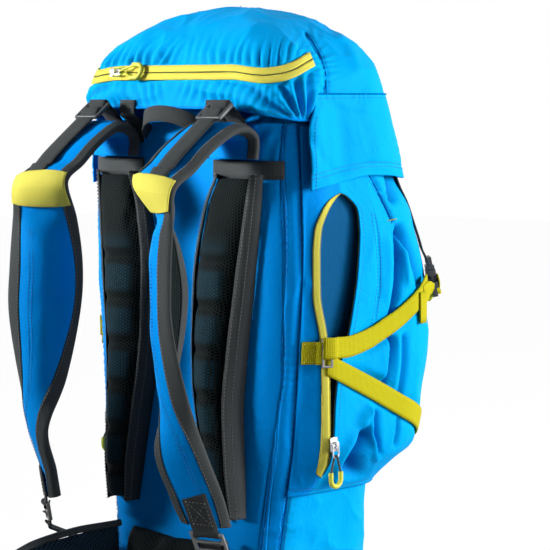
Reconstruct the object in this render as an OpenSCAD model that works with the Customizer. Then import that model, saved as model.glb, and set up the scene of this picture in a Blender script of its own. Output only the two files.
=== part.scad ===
// Hiking backpack with hood lid, padded mesh harness and zipped front pocket.
// Z is up, the harness faces -Y, the front pocket faces +Y, X is the wearer's left.

/* [Bag] */
// height of the bag walls, base to rim
bag_height = 505; // [460:1:550]
// half of the widest width of the bag
bag_half_width = 149; // [138:1:160]
// depth of the bag at its rim, back to front
bag_depth = 160; // [145:1:180]
// thickness of the fabric walls
wall = 3; // [2:0.1:4]

/* [Front pocket] */
// how far the front pocket bulges from the bag
pocket_bulge = 78; // [55:1:90]
// how far the pocket bulges at the sides
pocket_side = 21; // [15:0.5:24]
// width of one zip tape
tape_width = 6; // [4:0.5:8]

/* [Lid] */
// height of the dome above its rim seam
lid_rise = 95; // [75:1:110]
// how far the lid reaches past the front of the bag
lid_overhang = 27; // [22:1:34]
// drop of the skirt below the lid seam
skirt_drop = 84; // [74:1:88]

/* [Harness] */
// how far the back pads stand off the back panel
pad_height = 30; // [22:1:38]
// thickness of the shoulder straps
strap_thickness = 14; // [10:1:18]
// how far the shoulder straps arch out from the back panel
strap_reach = 124; // [110:1:140]
// width of the load lifter webbing
lifter_width = 25; // [20:1:28]

/* [Webbing] */
// width of the compression webbing
webbing_width = 20; // [15:1:22]
// thickness of the webbing
webbing_thickness = 1.6; // [1.2:0.1:2]

/* [Hip belt] */
// length of a hip belt wing
wing_length = 150; // [120:1:170]
// height of the hip belt
belt_height = 70; // [60:1:76]

/* [Hidden] */
$fn = 32;
gap = 0.3;
back_y = -75;
rb = 45;
rf = 70;
rp = 80;
zs = bag_height / 505;
ws = bag_half_width / 149;
front_y = back_y + bag_depth;
floor_t = 4;
rim_z = bag_height + 9;
seam_z = bag_height + 20;
axis_y = back_y - 11;
axis_z = bag_height + 25;
lid_w = bag_half_width + 1;
lid_front = front_y + lid_overhang;
lid_mid = (axis_y + lid_front) / 2;
skirt_z = bag_height + 25;
hem_z = skirt_z - skirt_drop;
blue = [0.02, 0.45, 0.85];
lime = [0.82, 0.85, 0.15];
grey = [0.22, 0.21, 0.20];
dark = [0.08, 0.09, 0.11];

function smooth(t) = t <= 0 ? 0 : t >= 1 ? 1 : t * t * (3 - 2 * t);
function mix(a, b, t) = a + (b - a) * t;
function zz(v) = v * zs;

// half width and front of the bag at a height
wide_at = [[4, 108], [20, 116], [60, 120], [126, 126], [190, 136], [272, 143],
  [392, 149], [440, 147], [505, 144]];
deep_at = [[4, 5], [20, 19], [60, 25], [126, 23], [190, 15], [272, 7], [392, 0], [505, 0]];
function hw(z) = lookup(z / zs, wide_at) * ws;
function fy(z) = front_y + lookup(z / zs, deep_at);

// point of a rounded outline: u runs 0 at the middle of the back to 5 at the middle of the front
function outline(u, w, yb, yf, r1, r2) =
  u < 1 ? [u * (w - r1), yb] :
  u < 2 ? [w - r1 + r1 * sin((u - 1) * 90), yb + r1 - r1 * cos((u - 1) * 90)] :
  u < 3 ? [w, yb + r1 + (u - 2) * (yf - yb - r1 - r2)] :
  u < 4 ? [w - r2 + r2 * cos((u - 3) * 90), yf - r2 + r2 * sin((u - 3) * 90)] :
  [(w - r2) * (5 - u), yf];

function at_z(p, z) = [p[0], p[1], z];
function flip(p) = [-p[0], p[1], p[2]];
function bag_pt(u, z, off) =
  at_z(outline(u, hw(z) + off, back_y - off, fy(z) + off, rb + off, rf + off), z);

// bulge of the front pocket over the bag wall
front_bulge = [[126, 0], [146, 0.12], [160, 0.3], [181, 0.59], [203, 0.71], [232, 0.82],
  [256, 0.9], [300, 0.97], [340, 0.99], [373, 0.905], [404, 0.75], [425, 0.65],
  [440, 0.55], [470, 0.38], [490, 0.22], [503, 0]];
side_bulge = [[126, 0], [140, 0.04], [146, 0.22], [160, 0.62], [175, 0.94], [190, 1], [230, 0.82],
  [272, 0.65], [330, 0.51], [392, 0.37], [415, 0.3], [440, 0.17], [470, 0.1], [503, 0]];
function pocket_w(z) = hw(z) + gap + wall + pocket_side * lookup(z / zs, side_bulge);
function pocket_y(z) = fy(z) + gap + wall + pocket_bulge * lookup(z / zs, front_bulge);
function pocket_pt(u, z, off) =
  let (w = smooth((u - 1.72) / 0.38), o = gap + wall + off,
    p = outline(u, hw(z) + o, back_y - o, fy(z) + o, rb + o, rf + o),
    c = min(1, 2.5 * lookup(z / zs, front_bulge)),
    q = outline(u, pocket_w(z) + off, back_y - o, pocket_y(z) + off, rb + o, mix(rf + o, rp + off, c)))
  at_z(mix(p, q, w), z);

// edges of the pocket's zip opening, in outline position by height
rear_lip = [[157, 2.075], [160, 2.05], [185, 2.03], [216, 2.03], [260, 2.025], [295, 2],
  [340, 1.91], [380, 1.9], [400, 1.92], [420, 2.03], [434, 2.22], [437, 2.3]];
front_lip = [[157, 2.075], [160, 2.11], [185, 2.09], [216, 2.1], [260, 2.145], [295, 2.26],
  [340, 2.35], [380, 2.435], [400, 2.49], [420, 2.52], [434, 2.4], [437, 2.3]];
function lip_r(z) = lookup(z / zs, rear_lip);
function lip_f(z) = lookup(z / zs, front_lip);
pocket_rows = [127, 136, 146, 157, 160, 172, 185, 216, 260, 295, 340, 380, 400, 420, 434,
  437, 455, 470, 490, 503];
tape_rows = [160, 172, 185, 216, 260, 295, 340, 380, 400, 420];

function mid_of(g) = [for (k = [0 : 2]) (max([for (p = g) p[k]]) + min([for (p = g) p[k]])) / 2];

// closed skin between two grids of points
module slab(o, i, loop = false, cap = false) {
  nr = len(o);
  nc = len(o[0]);
  n = nr * nc;
  ce = loop ? nc : nc - 1;
  function a(r, c) = r * nc + c % nc;
  function b(r, c) = n + r * nc + c % nc;
  function quad(p) = [[p[0], p[1], p[2]], [p[0], p[2], p[3]]];
  skin = [for (r = [0 : nr - 2], c = [0 : ce - 1])
    each quad([a(r, c), a(r + 1, c), a(r + 1, c + 1), a(r, c + 1)])];
  lining = [for (r = [0 : nr - 2], c = [0 : ce - 1])
    each quad([b(r, c), b(r, c + 1), b(r + 1, c + 1), b(r + 1, c)])];
  low = [for (c = [0 : ce - 1]) each quad([a(0, c), a(0, c + 1), b(0, c + 1), b(0, c)])];
  m = nr - 1;
  high = cap ? [for (c = [0 : nc - 1])
      each [[a(m, c + 1), a(m, c), 2 * n], [b(m, c), b(m, c + 1), 2 * n + 1]]] :
    [for (c = [0 : ce - 1]) each quad([a(m, c + 1), a(m, c), b(m, c), b(m, c + 1)])];
  e = nc - 1;
  ends = loop ? [] : [for (r = [0 : nr - 2])
    each concat(quad([a(r + 1, 0), a(r, 0), b(r, 0), b(r + 1, 0)]),
      quad([a(r, e), a(r + 1, e), b(r + 1, e), b(r, e)]))];
  tips = cap ? [mid_of(o[m]), mid_of(i[m])] : [];
  polyhedron(concat([for (g = o) each g, for (g = i) each g], tips),
    concat(skin, lining, low, high, ends));
}

// columns of a half outline and of a whole ring
module both() {
  children();
  mirror([1, 0, 0]) children();
}
ring_u = [0, 0.5, 1, 1.25, 1.5, 1.75, 2, 2.5, 3, 3.25, 3.5, 3.75, 4, 4.5];
function ring(f) = concat([for (u = ring_u) f(u)], [f(5)],
  [for (k = [len(ring_u) - 1 : -1 : 1]) flip(f(ring_u[k]))]);

// flat plate with four round corners
module round_plate(w, yb, yf, r1, r2, t) {
  for (s = [-1, 1]) {
    translate([s * (w - r1), yb + r1, 0]) cylinder(r = r1, h = t, $fn = 64);
    translate([s * (w - r2), yf - r2, 0]) cylinder(r = r2, h = t, $fn = 64);
  }
  translate([r1 - w, yb, 0]) cube([2 * (w - r1), r1, t]);
  translate([-w, yb + r1, 0]) cube([2 * w, yf - yb - r1 - r2, t]);
  translate([r2 - w, yf - r2, 0]) cube([2 * (w - r2), r2, t]);
}

module base_panel() color(blue)
  round_plate(hw(zz(4)), back_y, fy(zz(4)), rb, rf, floor_t);

wall_rows = [for (v = [20, 60, 126, 190, 272, 330, 392, 440, 505]) zz(v)];
wall_z = concat([floor_t], wall_rows);
back_edge = concat([[hw(zz(4)) - rb, floor_t]], [for (z = wall_rows) [hw(z) - rb, z]]);

module upright(y, t) translate([0, y + t, 0]) rotate([90, 0, 0]) linear_extrude(t) children();

module back_panel() color(blue) upright(back_y, wall)
  polygon(concat(back_edge, [for (k = [len(back_edge) - 1 : -1 : 0])
    [-back_edge[k][0], back_edge[k][1]]]));

module side_wall() {
  us = [1, 1.25, 1.5, 1.72, 2, 2.5, 3, 3.125, 3.25, 3.375, 3.5];
  slab([for (z = wall_z) [for (u = us) bag_pt(u, z, 0)]],
    [for (z = wall_z) [for (u = us) bag_pt(u, z, -wall)]]);
}
module side_wall_left() color(blue) side_wall();
module side_wall_right() color(blue) mirror([1, 0, 0]) side_wall();

module front_wall() {
  us = [3.5, 3.625, 3.75, 3.875, 4, 4.5];
  function row(z, off) = concat([for (u = us) bag_pt(u, z, off)], [bag_pt(5, z, off)],
    [for (k = [5 : -1 : 0]) flip(bag_pt(us[k], z, off))]);
  color(blue) slab([for (z = wall_z) row(z, 0)], [for (z = wall_z) row(z, -wall)]);
}

// throat of the bag above the wall rim, drawn in a little
function throat(u, k, off) =
  let (d = [0.5, 9, 16][k], z = bag_height + [0, 7, 21][k])
  at_z(outline(u, hw(bag_height) - d + off, back_y + d - off, front_y - d + off,
    rb - d + off, rf - d + off), z);
module collar() color(grey)
  slab([for (k = [0 : 2]) ring(function (u) throat(u, k, 0))],
    [for (k = [0 : 2]) ring(function (u) throat(u, k, -wall + 0.5))], loop = true);

module cord_eyelet() color(dark)
  translate([0, front_y - 16 + 7 / 14 * 7 + 1.8, bag_height + 14]) rotate([-63, 0, 0])
    rotate_extrude() translate([5, 0]) circle(1.3, $fn = 16);

sheet_t = 1.8;
stay_t = 3;
module frame_sheet() color(dark) upright(back_y + wall, sheet_t) {
  e = [for (v = [14, 60, 190, 392, 490]) [hw(zz(v)) - rb - 5, zz(v)]];
  polygon(concat(e, [for (k = [4 : -1 : 0]) [-e[k][0], e[k][1]]]));
}
module frame_stays() color([0.7, 0.7, 0.72]) both()
  translate([30, back_y + wall + sheet_t, zz(22)]) cube([24, stay_t, zz(455)]);
module frame_sleeve() color(dark) upright(back_y + wall + sheet_t + stay_t, 1) {
  e = [for (v = [10, 60, 190, 392, 498]) [hw(zz(v)) - rb - 3, zz(v)]];
  polygon(concat(e, [for (k = [4 : -1 : 0]) [-e[k][0], e[k][1]]]));
}

// mesh back pad: edges towards the side and the middle, crown over the back panel
pad_rows = [118, 150, 190, 219, 255, 300, 346, 390, 425, 452];
pad_out = [[118, 94], [160, 93], [219, 91], [286, 97], [344, 105], [430, 115], [452, 117]];
pad_in = [[118, 60], [190, 46], [219, 40], [255, 33], [300, 29], [350, 29], [420, 41], [452, 56]];
pad_rise = [[118, 0.75], [170, 1], [219, 1], [290, 0.85], [345, 0.72], [452, 0.42]];
pad_t = [0, 0.1, 0.3, 0.5, 0.7, 0.9, 1];
pad_shape = [0.4, 0.72, 0.95, 1, 0.95, 0.72, 0.4];
function pad_x(v, t) = mix(lookup(v, pad_in), lookup(v, pad_out), t) * ws;
module pad() color(dark)
  slab([for (v = pad_rows) [for (k = [0 : 6])
      [pad_x(v, pad_t[k]), back_y - gap - pad_height * lookup(v, pad_rise) * pad_shape[k], zz(v)]]],
    [for (v = pad_rows) [for (k = [0 : 6]) [pad_x(v, pad_t[k]), back_y - gap, zz(v)]]]);
module back_pad_left() pad();
module back_pad_right() mirror([1, 0, 0]) pad();

// band across the top of the pad, out to the side seam
module pad_strip() color(grey) {
  us = [0.5, 0.75, 1, 1.25, 1.5];
  zr = [zz(454), zz(466)];
  slab([for (z = zr) [for (u = us) bag_pt(u, z, gap + 2)]],
    [for (z = zr) [for (u = us) bag_pt(u, z, gap)]]);
}
module pad_strips() both() pad_strip();

// shoulder strap: outer edge and inner edge by station, root to tail
// x, share of the reach and height
edge_out = [[119, 0, 470], [119, 0, 492], [117, 0.173, 499], [115, 0.458, 483], [114, 0.693, 462],
  [114, 0.923, 444], [114, 0.962, 411], [115, 0.997, 361], [117, 0.997, 314], [121, 0.862, 249],
  [125, 0.674, 196], [129, 0.505, 151], [131, 0.43, 122]];
edge_in = [[50, 0, 470], [50, 0, 492], [50, 0.186, 500], [49, 0.446, 485], [48, 0.656, 466],
  [51, 0.823, 447], [67, 0.594, 408], [74, 0.477, 361], [76, 0.495, 314], [77, 0.656, 249],
  [80, 0.867, 198], [86, 0.755, 153], [92, 0.669, 126]];
strap_y0 = back_y - gap - 3.4 - strap_thickness / 2;
function knot(t, k) = let (p = t[max(0, min(12, k))])
  [p[0] * ws, strap_y0 - p[1] * (strap_reach + strap_y0 - back_y), zz(p[2])];
function curve(t, s) =
  let (k = floor(s), f = s - k, p0 = knot(t, k - 1), p1 = knot(t, k), p2 = knot(t, k + 1),
    p3 = knot(t, k + 2))
  0.5 * (2 * p1 + (p2 - p0) * f + (2 * p0 - 5 * p1 + 4 * p2 - p3) * f * f
    + (3 * p1 - p0 - 3 * p2 + p3) * f * f * f);
function unit(v) = v / norm(v);
function strap_n(s) =
  let (l = curve(edge_out, s), m = curve(edge_in, s), h = 0.05,
    t = curve(edge_out, min(12, s + h)) + curve(edge_in, min(12, s + h))
      - curve(edge_out, max(0, s - h)) - curve(edge_in, max(0, s - h)))
  unit(cross(t, m - l));
function strap_pt(s, t, d) = mix(curve(edge_out, s), curve(edge_in, s), t) + strap_n(s) * d;
function puff(t) = lookup(t, [[0, 0.45], [0.2, 0.85], [0.5, 1], [0.8, 0.85], [1, 0.45]]);
strap_s = [for (k = [0 : 24]) k / 2];
strap_w = [0, 0.2, 0.5, 0.8, 1];
module strap() color(blue)
  slab([for (s = strap_s) [for (t = strap_w) strap_pt(s, t, -puff(t) * strap_thickness / 2)]],
    [for (s = strap_s) [for (t = strap_w) strap_pt(s, t, puff(t) * strap_thickness / 2)]]);
module shoulder_strap_left() strap();
module shoulder_strap_right() mirror([1, 0, 0]) strap();

// patch lying on the outer face of the strap
module patch(s0, s1, t0, t1, d, h) {
  ss = [for (k = [0 : 4]) mix(s0, s1, k / 4)];
  ts = [for (k = [0 : 4]) mix(t0, t1, k / 4)];
  slab([for (s = ss) [for (t = ts) strap_pt(s, t, -puff(t) * strap_thickness / 2 - d - h)]],
    [for (s = ss) [for (t = ts) strap_pt(s, t, -puff(t) * strap_thickness / 2 - d)]]);
}
module strap_bands() color(lime) both() patch(4.8, 5.6, 0.03, 0.97, 1.3, 1.2);

// flat webbing along a list of points, width along a given direction
module ribbon(pts, dir, width, t) {
  n = len(pts);
  function tan_at(k) = unit(pts[min(n - 1, k + 1)] - pts[max(0, k - 1)]);
  function up(k) = unit(cross(tan_at(k), dir));
  slab([for (k = [0 : n - 1]) [for (s = [-1, 1]) pts[k] + s * dir * width / 2 - up(k) * t / 2]],
    [for (k = [0 : n - 1]) [for (s = [-1, 1]) pts[k] + s * dir * width / 2 + up(k) * t / 2]]);
}

// load lifter: webbing from the strap band to a ladder lock held by a tab on the bag
lifter_x = 88 * ws;
lift_a = strap_pt(4.95, 0.42, -strap_thickness / 2 - 6 - webbing_thickness / 2);
lift_0 = [lifter_x, lift_a[1], lift_a[2]];
lift_b = [lifter_x, back_y - 37, bag_height + 11];
lift_d = unit(lift_b - lift_0);
lift_tilt = atan2(lift_d[2], lift_d[1]);
module lifter_webbing() color(grey)
  ribbon([lift_0 + lift_d * 8, mix(lift_0, lift_b, 0.5), lift_b - lift_d * 12.3], [1, 0, 0],
    lifter_width, webbing_thickness);
module lifter_webbing_left() lifter_webbing();
module lifter_webbing_right() mirror([1, 0, 0]) lifter_webbing();

// ladder lock: plate with two slots, bars across X
module ladder(w, l, t) {
  b = 3;
  difference() {
    translate([-w / 2 - 4, -l / 2, -t / 2]) cube([w + 8, l, t]);
    for (s = [-1, 1])
      translate([-w / 2 - 0.4, s * (l / 4 - b / 4) - (l / 2 - 1.5 * b) / 2, -t])
        cube([w + 0.8, l / 2 - 1.5 * b, 2 * t]);
  }
}
module lifter_buckle() color(dark) translate(lift_b) rotate([lift_tilt, 0, 0])
  ladder(lifter_width, 24, 4);
module lifter_buckle_left() lifter_buckle();
module lifter_buckle_right() mirror([1, 0, 0]) lifter_buckle();
seat_y = back_y - gap - webbing_thickness / 2;
module lifter_anchor() color(grey)
  ribbon([[lifter_x, seat_y, zz(478)], [lifter_x, seat_y, zz(492)],
    [lifter_x, back_y - 4, zz(499)], [lifter_x, back_y - 9, bag_height + 3],
    lift_b + lift_d * 13.1], [1, 0, 0], lifter_width - 1, webbing_thickness);
module lifter_anchors() both() lifter_anchor();

// tail of the strap: stitched tab, ladder lock, webbing down to the side seam
tail_o = strap_thickness / 2 + 0.4 + webbing_thickness / 2;
tail_a = strap_pt(11.1, 0.5, -tail_o);
tail_b = strap_pt(12, 0.5, -tail_o);
tail_d = unit(tail_b - tail_a);
tail_c = tail_b + tail_d * 16;
tail_w = unit(strap_pt(12, 1, 0) - strap_pt(12, 0, 0));
tail_n = unit(cross(tail_d, tail_w));
tail_end = bag_pt(1.62, zz(44), 3.2);
module strap_tab() color(grey)
  ribbon([tail_a, mix(tail_a, tail_b, 0.5), tail_b, tail_c - tail_d * 10.3], tail_w,
    webbing_width + 4, webbing_thickness);
module strap_tabs() both() strap_tab();
module tail_frame() multmatrix([[tail_w[0], tail_d[0], tail_n[0], tail_c[0]],
  [tail_w[1], tail_d[1], tail_n[1], tail_c[1]], [tail_w[2], tail_d[2], tail_n[2], tail_c[2]]])
  mirror([1, 0, 0]) children();
module strap_buckle() color([0.5, 0.5, 0.5]) tail_frame() ladder(webbing_width + 5, 20, 4);
module strap_buckle_left() strap_buckle();
module strap_buckle_right() mirror([1, 0, 0]) strap_buckle();
module strap_webbing() color(grey) {
  a = tail_c + tail_d * 13.3;
  ribbon([a, a + tail_d * 5, mix(a, tail_end, 0.45), mix(a, tail_end, 0.75), tail_end],
    unit([0.8, 0.5, 0.2]), webbing_width, webbing_thickness);
}
module strap_webbings() both() strap_webbing();

// haul loop: webbing arch between two feet on the back panel
haul_z = zz(494);
haul_w = 40;
module haul_loop() color(grey) {
  p = [for (k = [0 : 12]) let (a = 180 * k / 12)
    [-haul_w * cos(a), back_y - gap - 1.3 - 24 * sin(a), haul_z + 20 * sin(a)]];
  d = unit([0, 0.12, 1]);
  slab([for (q = p) [q - d * 8, q + d * 8]],
    [for (k = [0 : 12]) let (a = 180 * k / 12, q = p[k] + [-1.8 * cos(a), -1.8 * sin(a), 0])
      [q - d * 8, q + d * 8]]);
}

// hip belt: fixed middle pad and two swinging wings
belt_z = 22;
belt_y = back_y - gap;
module lumbar_pad() color(dark) {
  xs = [-66, -58, -38, 0, 38, 58, 66];
  zr = [0, 0.12, 0.5, 0.88, 1];
  rise = [0.5, 0.85, 1, 0.85, 0.5];
  cut = [0.6, 0.9, 1, 0.92, 1, 0.9, 0.6];
  slab([for (k = [0 : 4]) [for (c = [0 : 6])
      [xs[c] * ws, belt_y - 26 * rise[k] * cut[c], belt_z + zr[k] * belt_height]]],
    [for (k = [0 : 4]) [for (c = [0 : 6]) [xs[c] * ws, belt_y, belt_z + zr[k] * belt_height]]]);
}
wing_x = 76 * ws;
wing_y = back_y - 7.3;
wing_out = [[0, 0], [0.15, 2.5], [0.4, 8], [0.7, 10], [1, 5]];
wing_tall = [[0, 1], [0.3, 0.95], [0.7, 0.75], [1, 0.5]];
module wing() {
  ls = [0.03, 0.1, 0.25, 0.4, 0.55, 0.7, 0.85, 1];
  hs = [0, 0.15, 0.5, 0.85, 1];
  pf = [0.5, 0.9, 1, 0.9, 0.5];
  function wp(l, k, s) = [wing_x + lookup(l, wing_out) * 1.5 + s * 7 * pf[k],
    wing_y - l * wing_length,
    belt_z + belt_height * (0.5 + (hs[k] - 0.5) * lookup(l, wing_tall))];
  color(dark) slab([for (l = ls) [for (k = [0 : 4]) wp(l, k, 1)]],
    [for (l = ls) [for (k = [0 : 4]) wp(l, k, -1)]]);
  color(dark) translate([wing_x, wing_y, belt_z]) cylinder(r = 6.5, h = belt_height);
}
module hip_wing_left() wing();
module hip_wing_right() mirror([1, 0, 0]) wing();
tip = [wing_x + 7.5, wing_y - wing_length, belt_z + belt_height / 2];

// side release buckle, lying in the XZ plane with the plug entering from +Z
module socket(w) {
  difference() {
    union() {
      translate([-w / 2 - 4, -4.5, 0]) cube([w + 8, 9, 24]);
      translate([-w / 2 - 4, -2.5, -11]) cube([w + 8, 5, 11.01]);
    }
    translate([-w / 2 - 1, -2.4, 4]) cube([w + 2, 4.8, 21]);
    translate([-w / 2 - 0.4, -5, -8]) cube([w + 0.8, 10, 5]);
    for (s = [-1, 1]) translate([s * (w / 2 + 2.5), -5, 12]) rotate([-90, 0, 0])
      cylinder(r = 4.5, h = 10);
  }
}
module plug(w) {
  translate([-w / 2 - 4, -4, 24.6]) cube([w + 8, 8, 5]);
  difference() {
    translate([-w / 2 - 4, -2.5, 29.5]) cube([w + 8, 5, 11]);
    translate([-w / 2 - 0.4, -5, 32.5]) cube([w + 0.8, 10, 5]);
  }
  for (s = [-1, 1]) {
    translate([s * (w / 2 - 2) - 1.5, -1.8, 6]) cube([3, 3.6, 19]);
    translate([s * (w / 2 - 1.4), -1.8, 9]) rotate([-90, 0, 0]) cylinder(r = 1.9, h = 3.6);
  }
  translate([-1.2, -1.8, 5]) cube([2.4, 3.6, 20]);
}
module belt_frame() translate(tip + [0, -40, 0]) rotate([90, 90, 0]) children();
module hip_webbing() color(grey)
  ribbon([tip + [0, -0.3, 0], tip + [0, -14, 0], tip + [0, -28.7, 0]], [0, 0, 1],
    webbing_width, webbing_thickness);
module hip_webbing_left() hip_webbing();
module hip_webbing_right() mirror([1, 0, 0]) hip_webbing();
module hip_buckle_female() color(dark) belt_frame() socket(webbing_width);
module hip_buckle_male() color(dark) mirror([1, 0, 0]) belt_frame()
  translate([0, 0, 29.5]) mirror([0, 0, 1]) plug(webbing_width);

// front pocket
module pocket_side() {
  ts = [0, 0.2, 0.4, 0.6, 0.8, 1];
  slab([for (v = pocket_rows) [for (t = ts) pocket_pt(mix(1.72, lip_r(zz(v)), t), zz(v), 0)]],
    [for (v = pocket_rows) [for (t = ts) pocket_pt(mix(1.72, lip_r(zz(v)), t), zz(v), -wall)]]);
}
module pocket_side_left() color(blue) pocket_side();
module pocket_side_right() color(blue) mirror([1, 0, 0]) pocket_side();
module pocket_front() {
  cs = [3, 3.125, 3.25, 3.375, 3.5, 3.625, 3.75, 3.875, 4, 4.5];
  function row(v, off) =
    let (z = zz(v), f = lip_f(z),
      h = [for (u = concat([f, mix(f, 3, 0.35), mix(f, 3, 0.7)], cs)) pocket_pt(u, z, off)])
    concat(h, [pocket_pt(5, z, off)], [for (k = [len(h) - 1 : -1 : 0]) flip(h[k])]);
  color(blue) slab([for (v = pocket_rows) row(v, 0)], [for (v = pocket_rows) row(v, -wall)]);
}
module pocket_zip() {
  function u_in(z) = lip_r(z) - tape_width / 71;
  function u_out(z) = lip_f(z) + tape_width / 105;
  slab([for (v = tape_rows) [for (u = [u_in(zz(v)), lip_r(zz(v))]) pocket_pt(u, zz(v), 1.55)]],
    [for (v = tape_rows) [for (u = [u_in(zz(v)), lip_r(zz(v))]) pocket_pt(u, zz(v), 0.65)]]);
  slab([for (v = tape_rows) [for (u = [lip_f(zz(v)), u_out(zz(v))]) pocket_pt(u, zz(v), 1.55)]],
    [for (v = tape_rows) [for (u = [lip_f(zz(v)), u_out(zz(v))]) pocket_pt(u, zz(v), 0.65)]]);
}
module pocket_zip_left() color(lime) pocket_zip();
module pocket_zip_right() color(lime) mirror([1, 0, 0]) pocket_zip();

// zip slider: outer plate, post between the tapes, bridge over the bail
steel = [0.75, 0.75, 0.77];
bar_x = 6.3;
slide_z = zz(192);
slide_p = (pocket_pt(lip_r(slide_z), slide_z, 0.3) + pocket_pt(lip_f(slide_z), slide_z, 0.3)) / 2;
module slider(post) {
  translate([2.6, -4.5, -7]) cube([2.2, 9, 14]);
  if (post) translate([-5, -1.2, -4]) cube([8, 2.4, 8]);
  for (s = [-1, 1]) translate([4, -1.6, s * 2.6 - 0.9]) cube([5.2, 3.2, 1.8]);
  translate([7.8, -1.6, -3.5]) cube([1.4, 3.2, 7]);
}
module pocket_slider_left() color(steel) translate(slide_p) slider(true);
module pocket_slider_right() color(steel) mirror([1, 0, 0]) translate(slide_p) slider(true);

// pull: wire bail under the bridge, cord hitched on it, moulded grip
module rod(a, b, r) {
  v = b - a;
  translate(a) rotate([0, acos(v[2] / norm(v)), atan2(v[1], v[0])]) cylinder(r = r, h = norm(v));
}
module bend(r, w) rotate([0, 90, 0]) rotate([0, 0, -90]) rotate_extrude(angle = 180)
  translate([r, 0]) circle(w, $fn = 20);
module bail() translate([bar_x, 0, 0]) {
  rod([0, -4, 0], [0, 4, 0], 0.8);
  for (s = [-1, 1]) {
    translate([0, s * 4, 0]) sphere(0.8);
    rod([0, s * 4, 0], [0, s * 4, -9], 0.8);
  }
  translate([0, 0, -9]) bend(4, 0.8);
}
module grip_cord() translate([bar_x, 0, -13]) {
  rotate([0, 0, 90]) rotate([180, 0, 0]) bend(2.2, 1.1);
  rod([2.2, 0, 0], [0, 7, -15], 1.1);
  rod([-2.2, 0, 0], [0, -7, -15], 1.1);
  for (s = [-1, 1]) rod([0, s * 7, -21], [0, s * 7, -14], 2.4);
  translate([0, 0, -21]) bend(7, 2.4);
}
module pocket_bail_left() color(steel) translate(slide_p) bail();
module pocket_bail_right() color(steel) mirror([1, 0, 0]) translate(slide_p) bail();
module pocket_pull_left() color(lime) translate(slide_p) grip_cord();
module pocket_pull_right() color(lime) mirror([1, 0, 0]) translate(slide_p) grip_cord();

// compression strap: two legs from the ring over the pocket, and the loose tail
leg_off = 2.2;
// each point of a leg has its place, height, half width and distance off the pocket
module leg_on(us)
  slab([for (s = [-1, 1]) [for (p = us) pocket_pt(p[0], zz(p[1]) + s * p[2],
      p[3] + webbing_thickness)]],
    [for (s = [-1, 1]) [for (p = us) pocket_pt(p[0], zz(p[1]) + s * p[2], p[3])]]);
module leg(u0, u1, v0, v1, wide, off)
  leg_on([for (k = [0 : 10]) [mix(u0, u1, k / 10), mix(v0, v1, k / 10), wide / 2, off]]);
leg_rise = [[2, 287], [2.2, 286], [2.5, 292], [2.64, 298], [2.9, 310.5], [3.12, 325], [3.36, 339]];
leg_end = [[3.385, 329, 5, leg_off + 0.8], [3.4, 328, 3.8, leg_off + 1.4],
  [3.5, 327.5, 3.8, leg_off + 1.7], [3.6, 327.5, 3.8, leg_off + 1.7]];
module side_strap() color(lime) {
  leg_on(concat([for (k = [0 : 16]) let (u = mix(2, 3.36, k / 16))
    [u, lookup(u, leg_rise), webbing_width / 2 + 0.5, leg_off]], leg_end));
  leg(2, 3.8, 270.5, 178, webbing_width + 1.5, leg_off);
  leg(3.12, 3.24, 317, 317, 32, leg_off + webbing_thickness + 0.7);
}
module side_strap_left() side_strap();
module side_strap_right() mirror([1, 0, 0]) side_strap();
module side_tabs() color(lime) both()
  leg(1.74, 1.945, 282, 282, webbing_width + 2, leg_off);

// square ring between the tab and the strap
ring_t = 2.4;
ring_o = leg_off + webbing_thickness + ring_t / 2 + 0.6;
ring_a = pocket_pt(1.93, zz(282), ring_o);
ring_b = pocket_pt(2.02, zz(282), ring_o);
module side_ring() color(steel) translate((ring_a + ring_b) / 2)
  rotate([0, 0, atan2(ring_b[1] - ring_a[1], ring_b[0] - ring_a[0])]) {
    l = norm(ring_b - ring_a);
    h = webbing_width + 6;
    difference() {
      cube([l + ring_t, ring_t, h + ring_t], center = true);
      cube([l - ring_t, 2 * ring_t, h - ring_t], center = true);
    }
  }
module side_rings() both() side_ring();

// front corner: webbing from under the lid to a side release buckle
module front_webbing() color(grey) {
  vs = [359, 365, 372, 390, 404, 425, 440, 470, 484];
  half = webbing_width / 2 / (rp * PI / 2);
  us = [3.5 - half, 3.5, 3.5 + half];
  slab([for (v = vs) [for (u = us) pocket_pt(u, zz(v), gap + webbing_thickness)]],
    [for (v = vs) [for (u = us) pocket_pt(u, zz(v), gap)]]);
}
module front_webbings() both() front_webbing();
corner_tilt = 11;
corner_length = 41.2;
corner_p = pocket_pt(3.5, zz(340), 8.2);
module corner() translate([corner_p[0], corner_p[1], zz(334)]) rotate([0, 0, -45])
  rotate([corner_tilt, 0, 0]) scale([1, 1, corner_length / 51.5]) children();
module buckle_socket_left() color(dark) corner() socket(webbing_width);
module buckle_socket_right() color(dark) mirror([1, 0, 0]) corner() socket(webbing_width);
module buckle_plug_left() color(dark) corner() plug(webbing_width);
module buckle_plug_right() color(dark) mirror([1, 0, 0]) corner() plug(webbing_width);

// hood lid: dome on a short rim, floor of its pocket, flared skirt
rl = 75;
function dome(u, b, off) =
  at_z(outline(u, (lid_w + off) * cos(b), lid_mid + (axis_y - off - lid_mid) * cos(b),
    lid_mid + (lid_front + off - lid_mid) * cos(b), (rb + off) * cos(b), (rl + off) * cos(b)),
    seam_z + (lid_rise + off) * sin(b));
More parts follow.
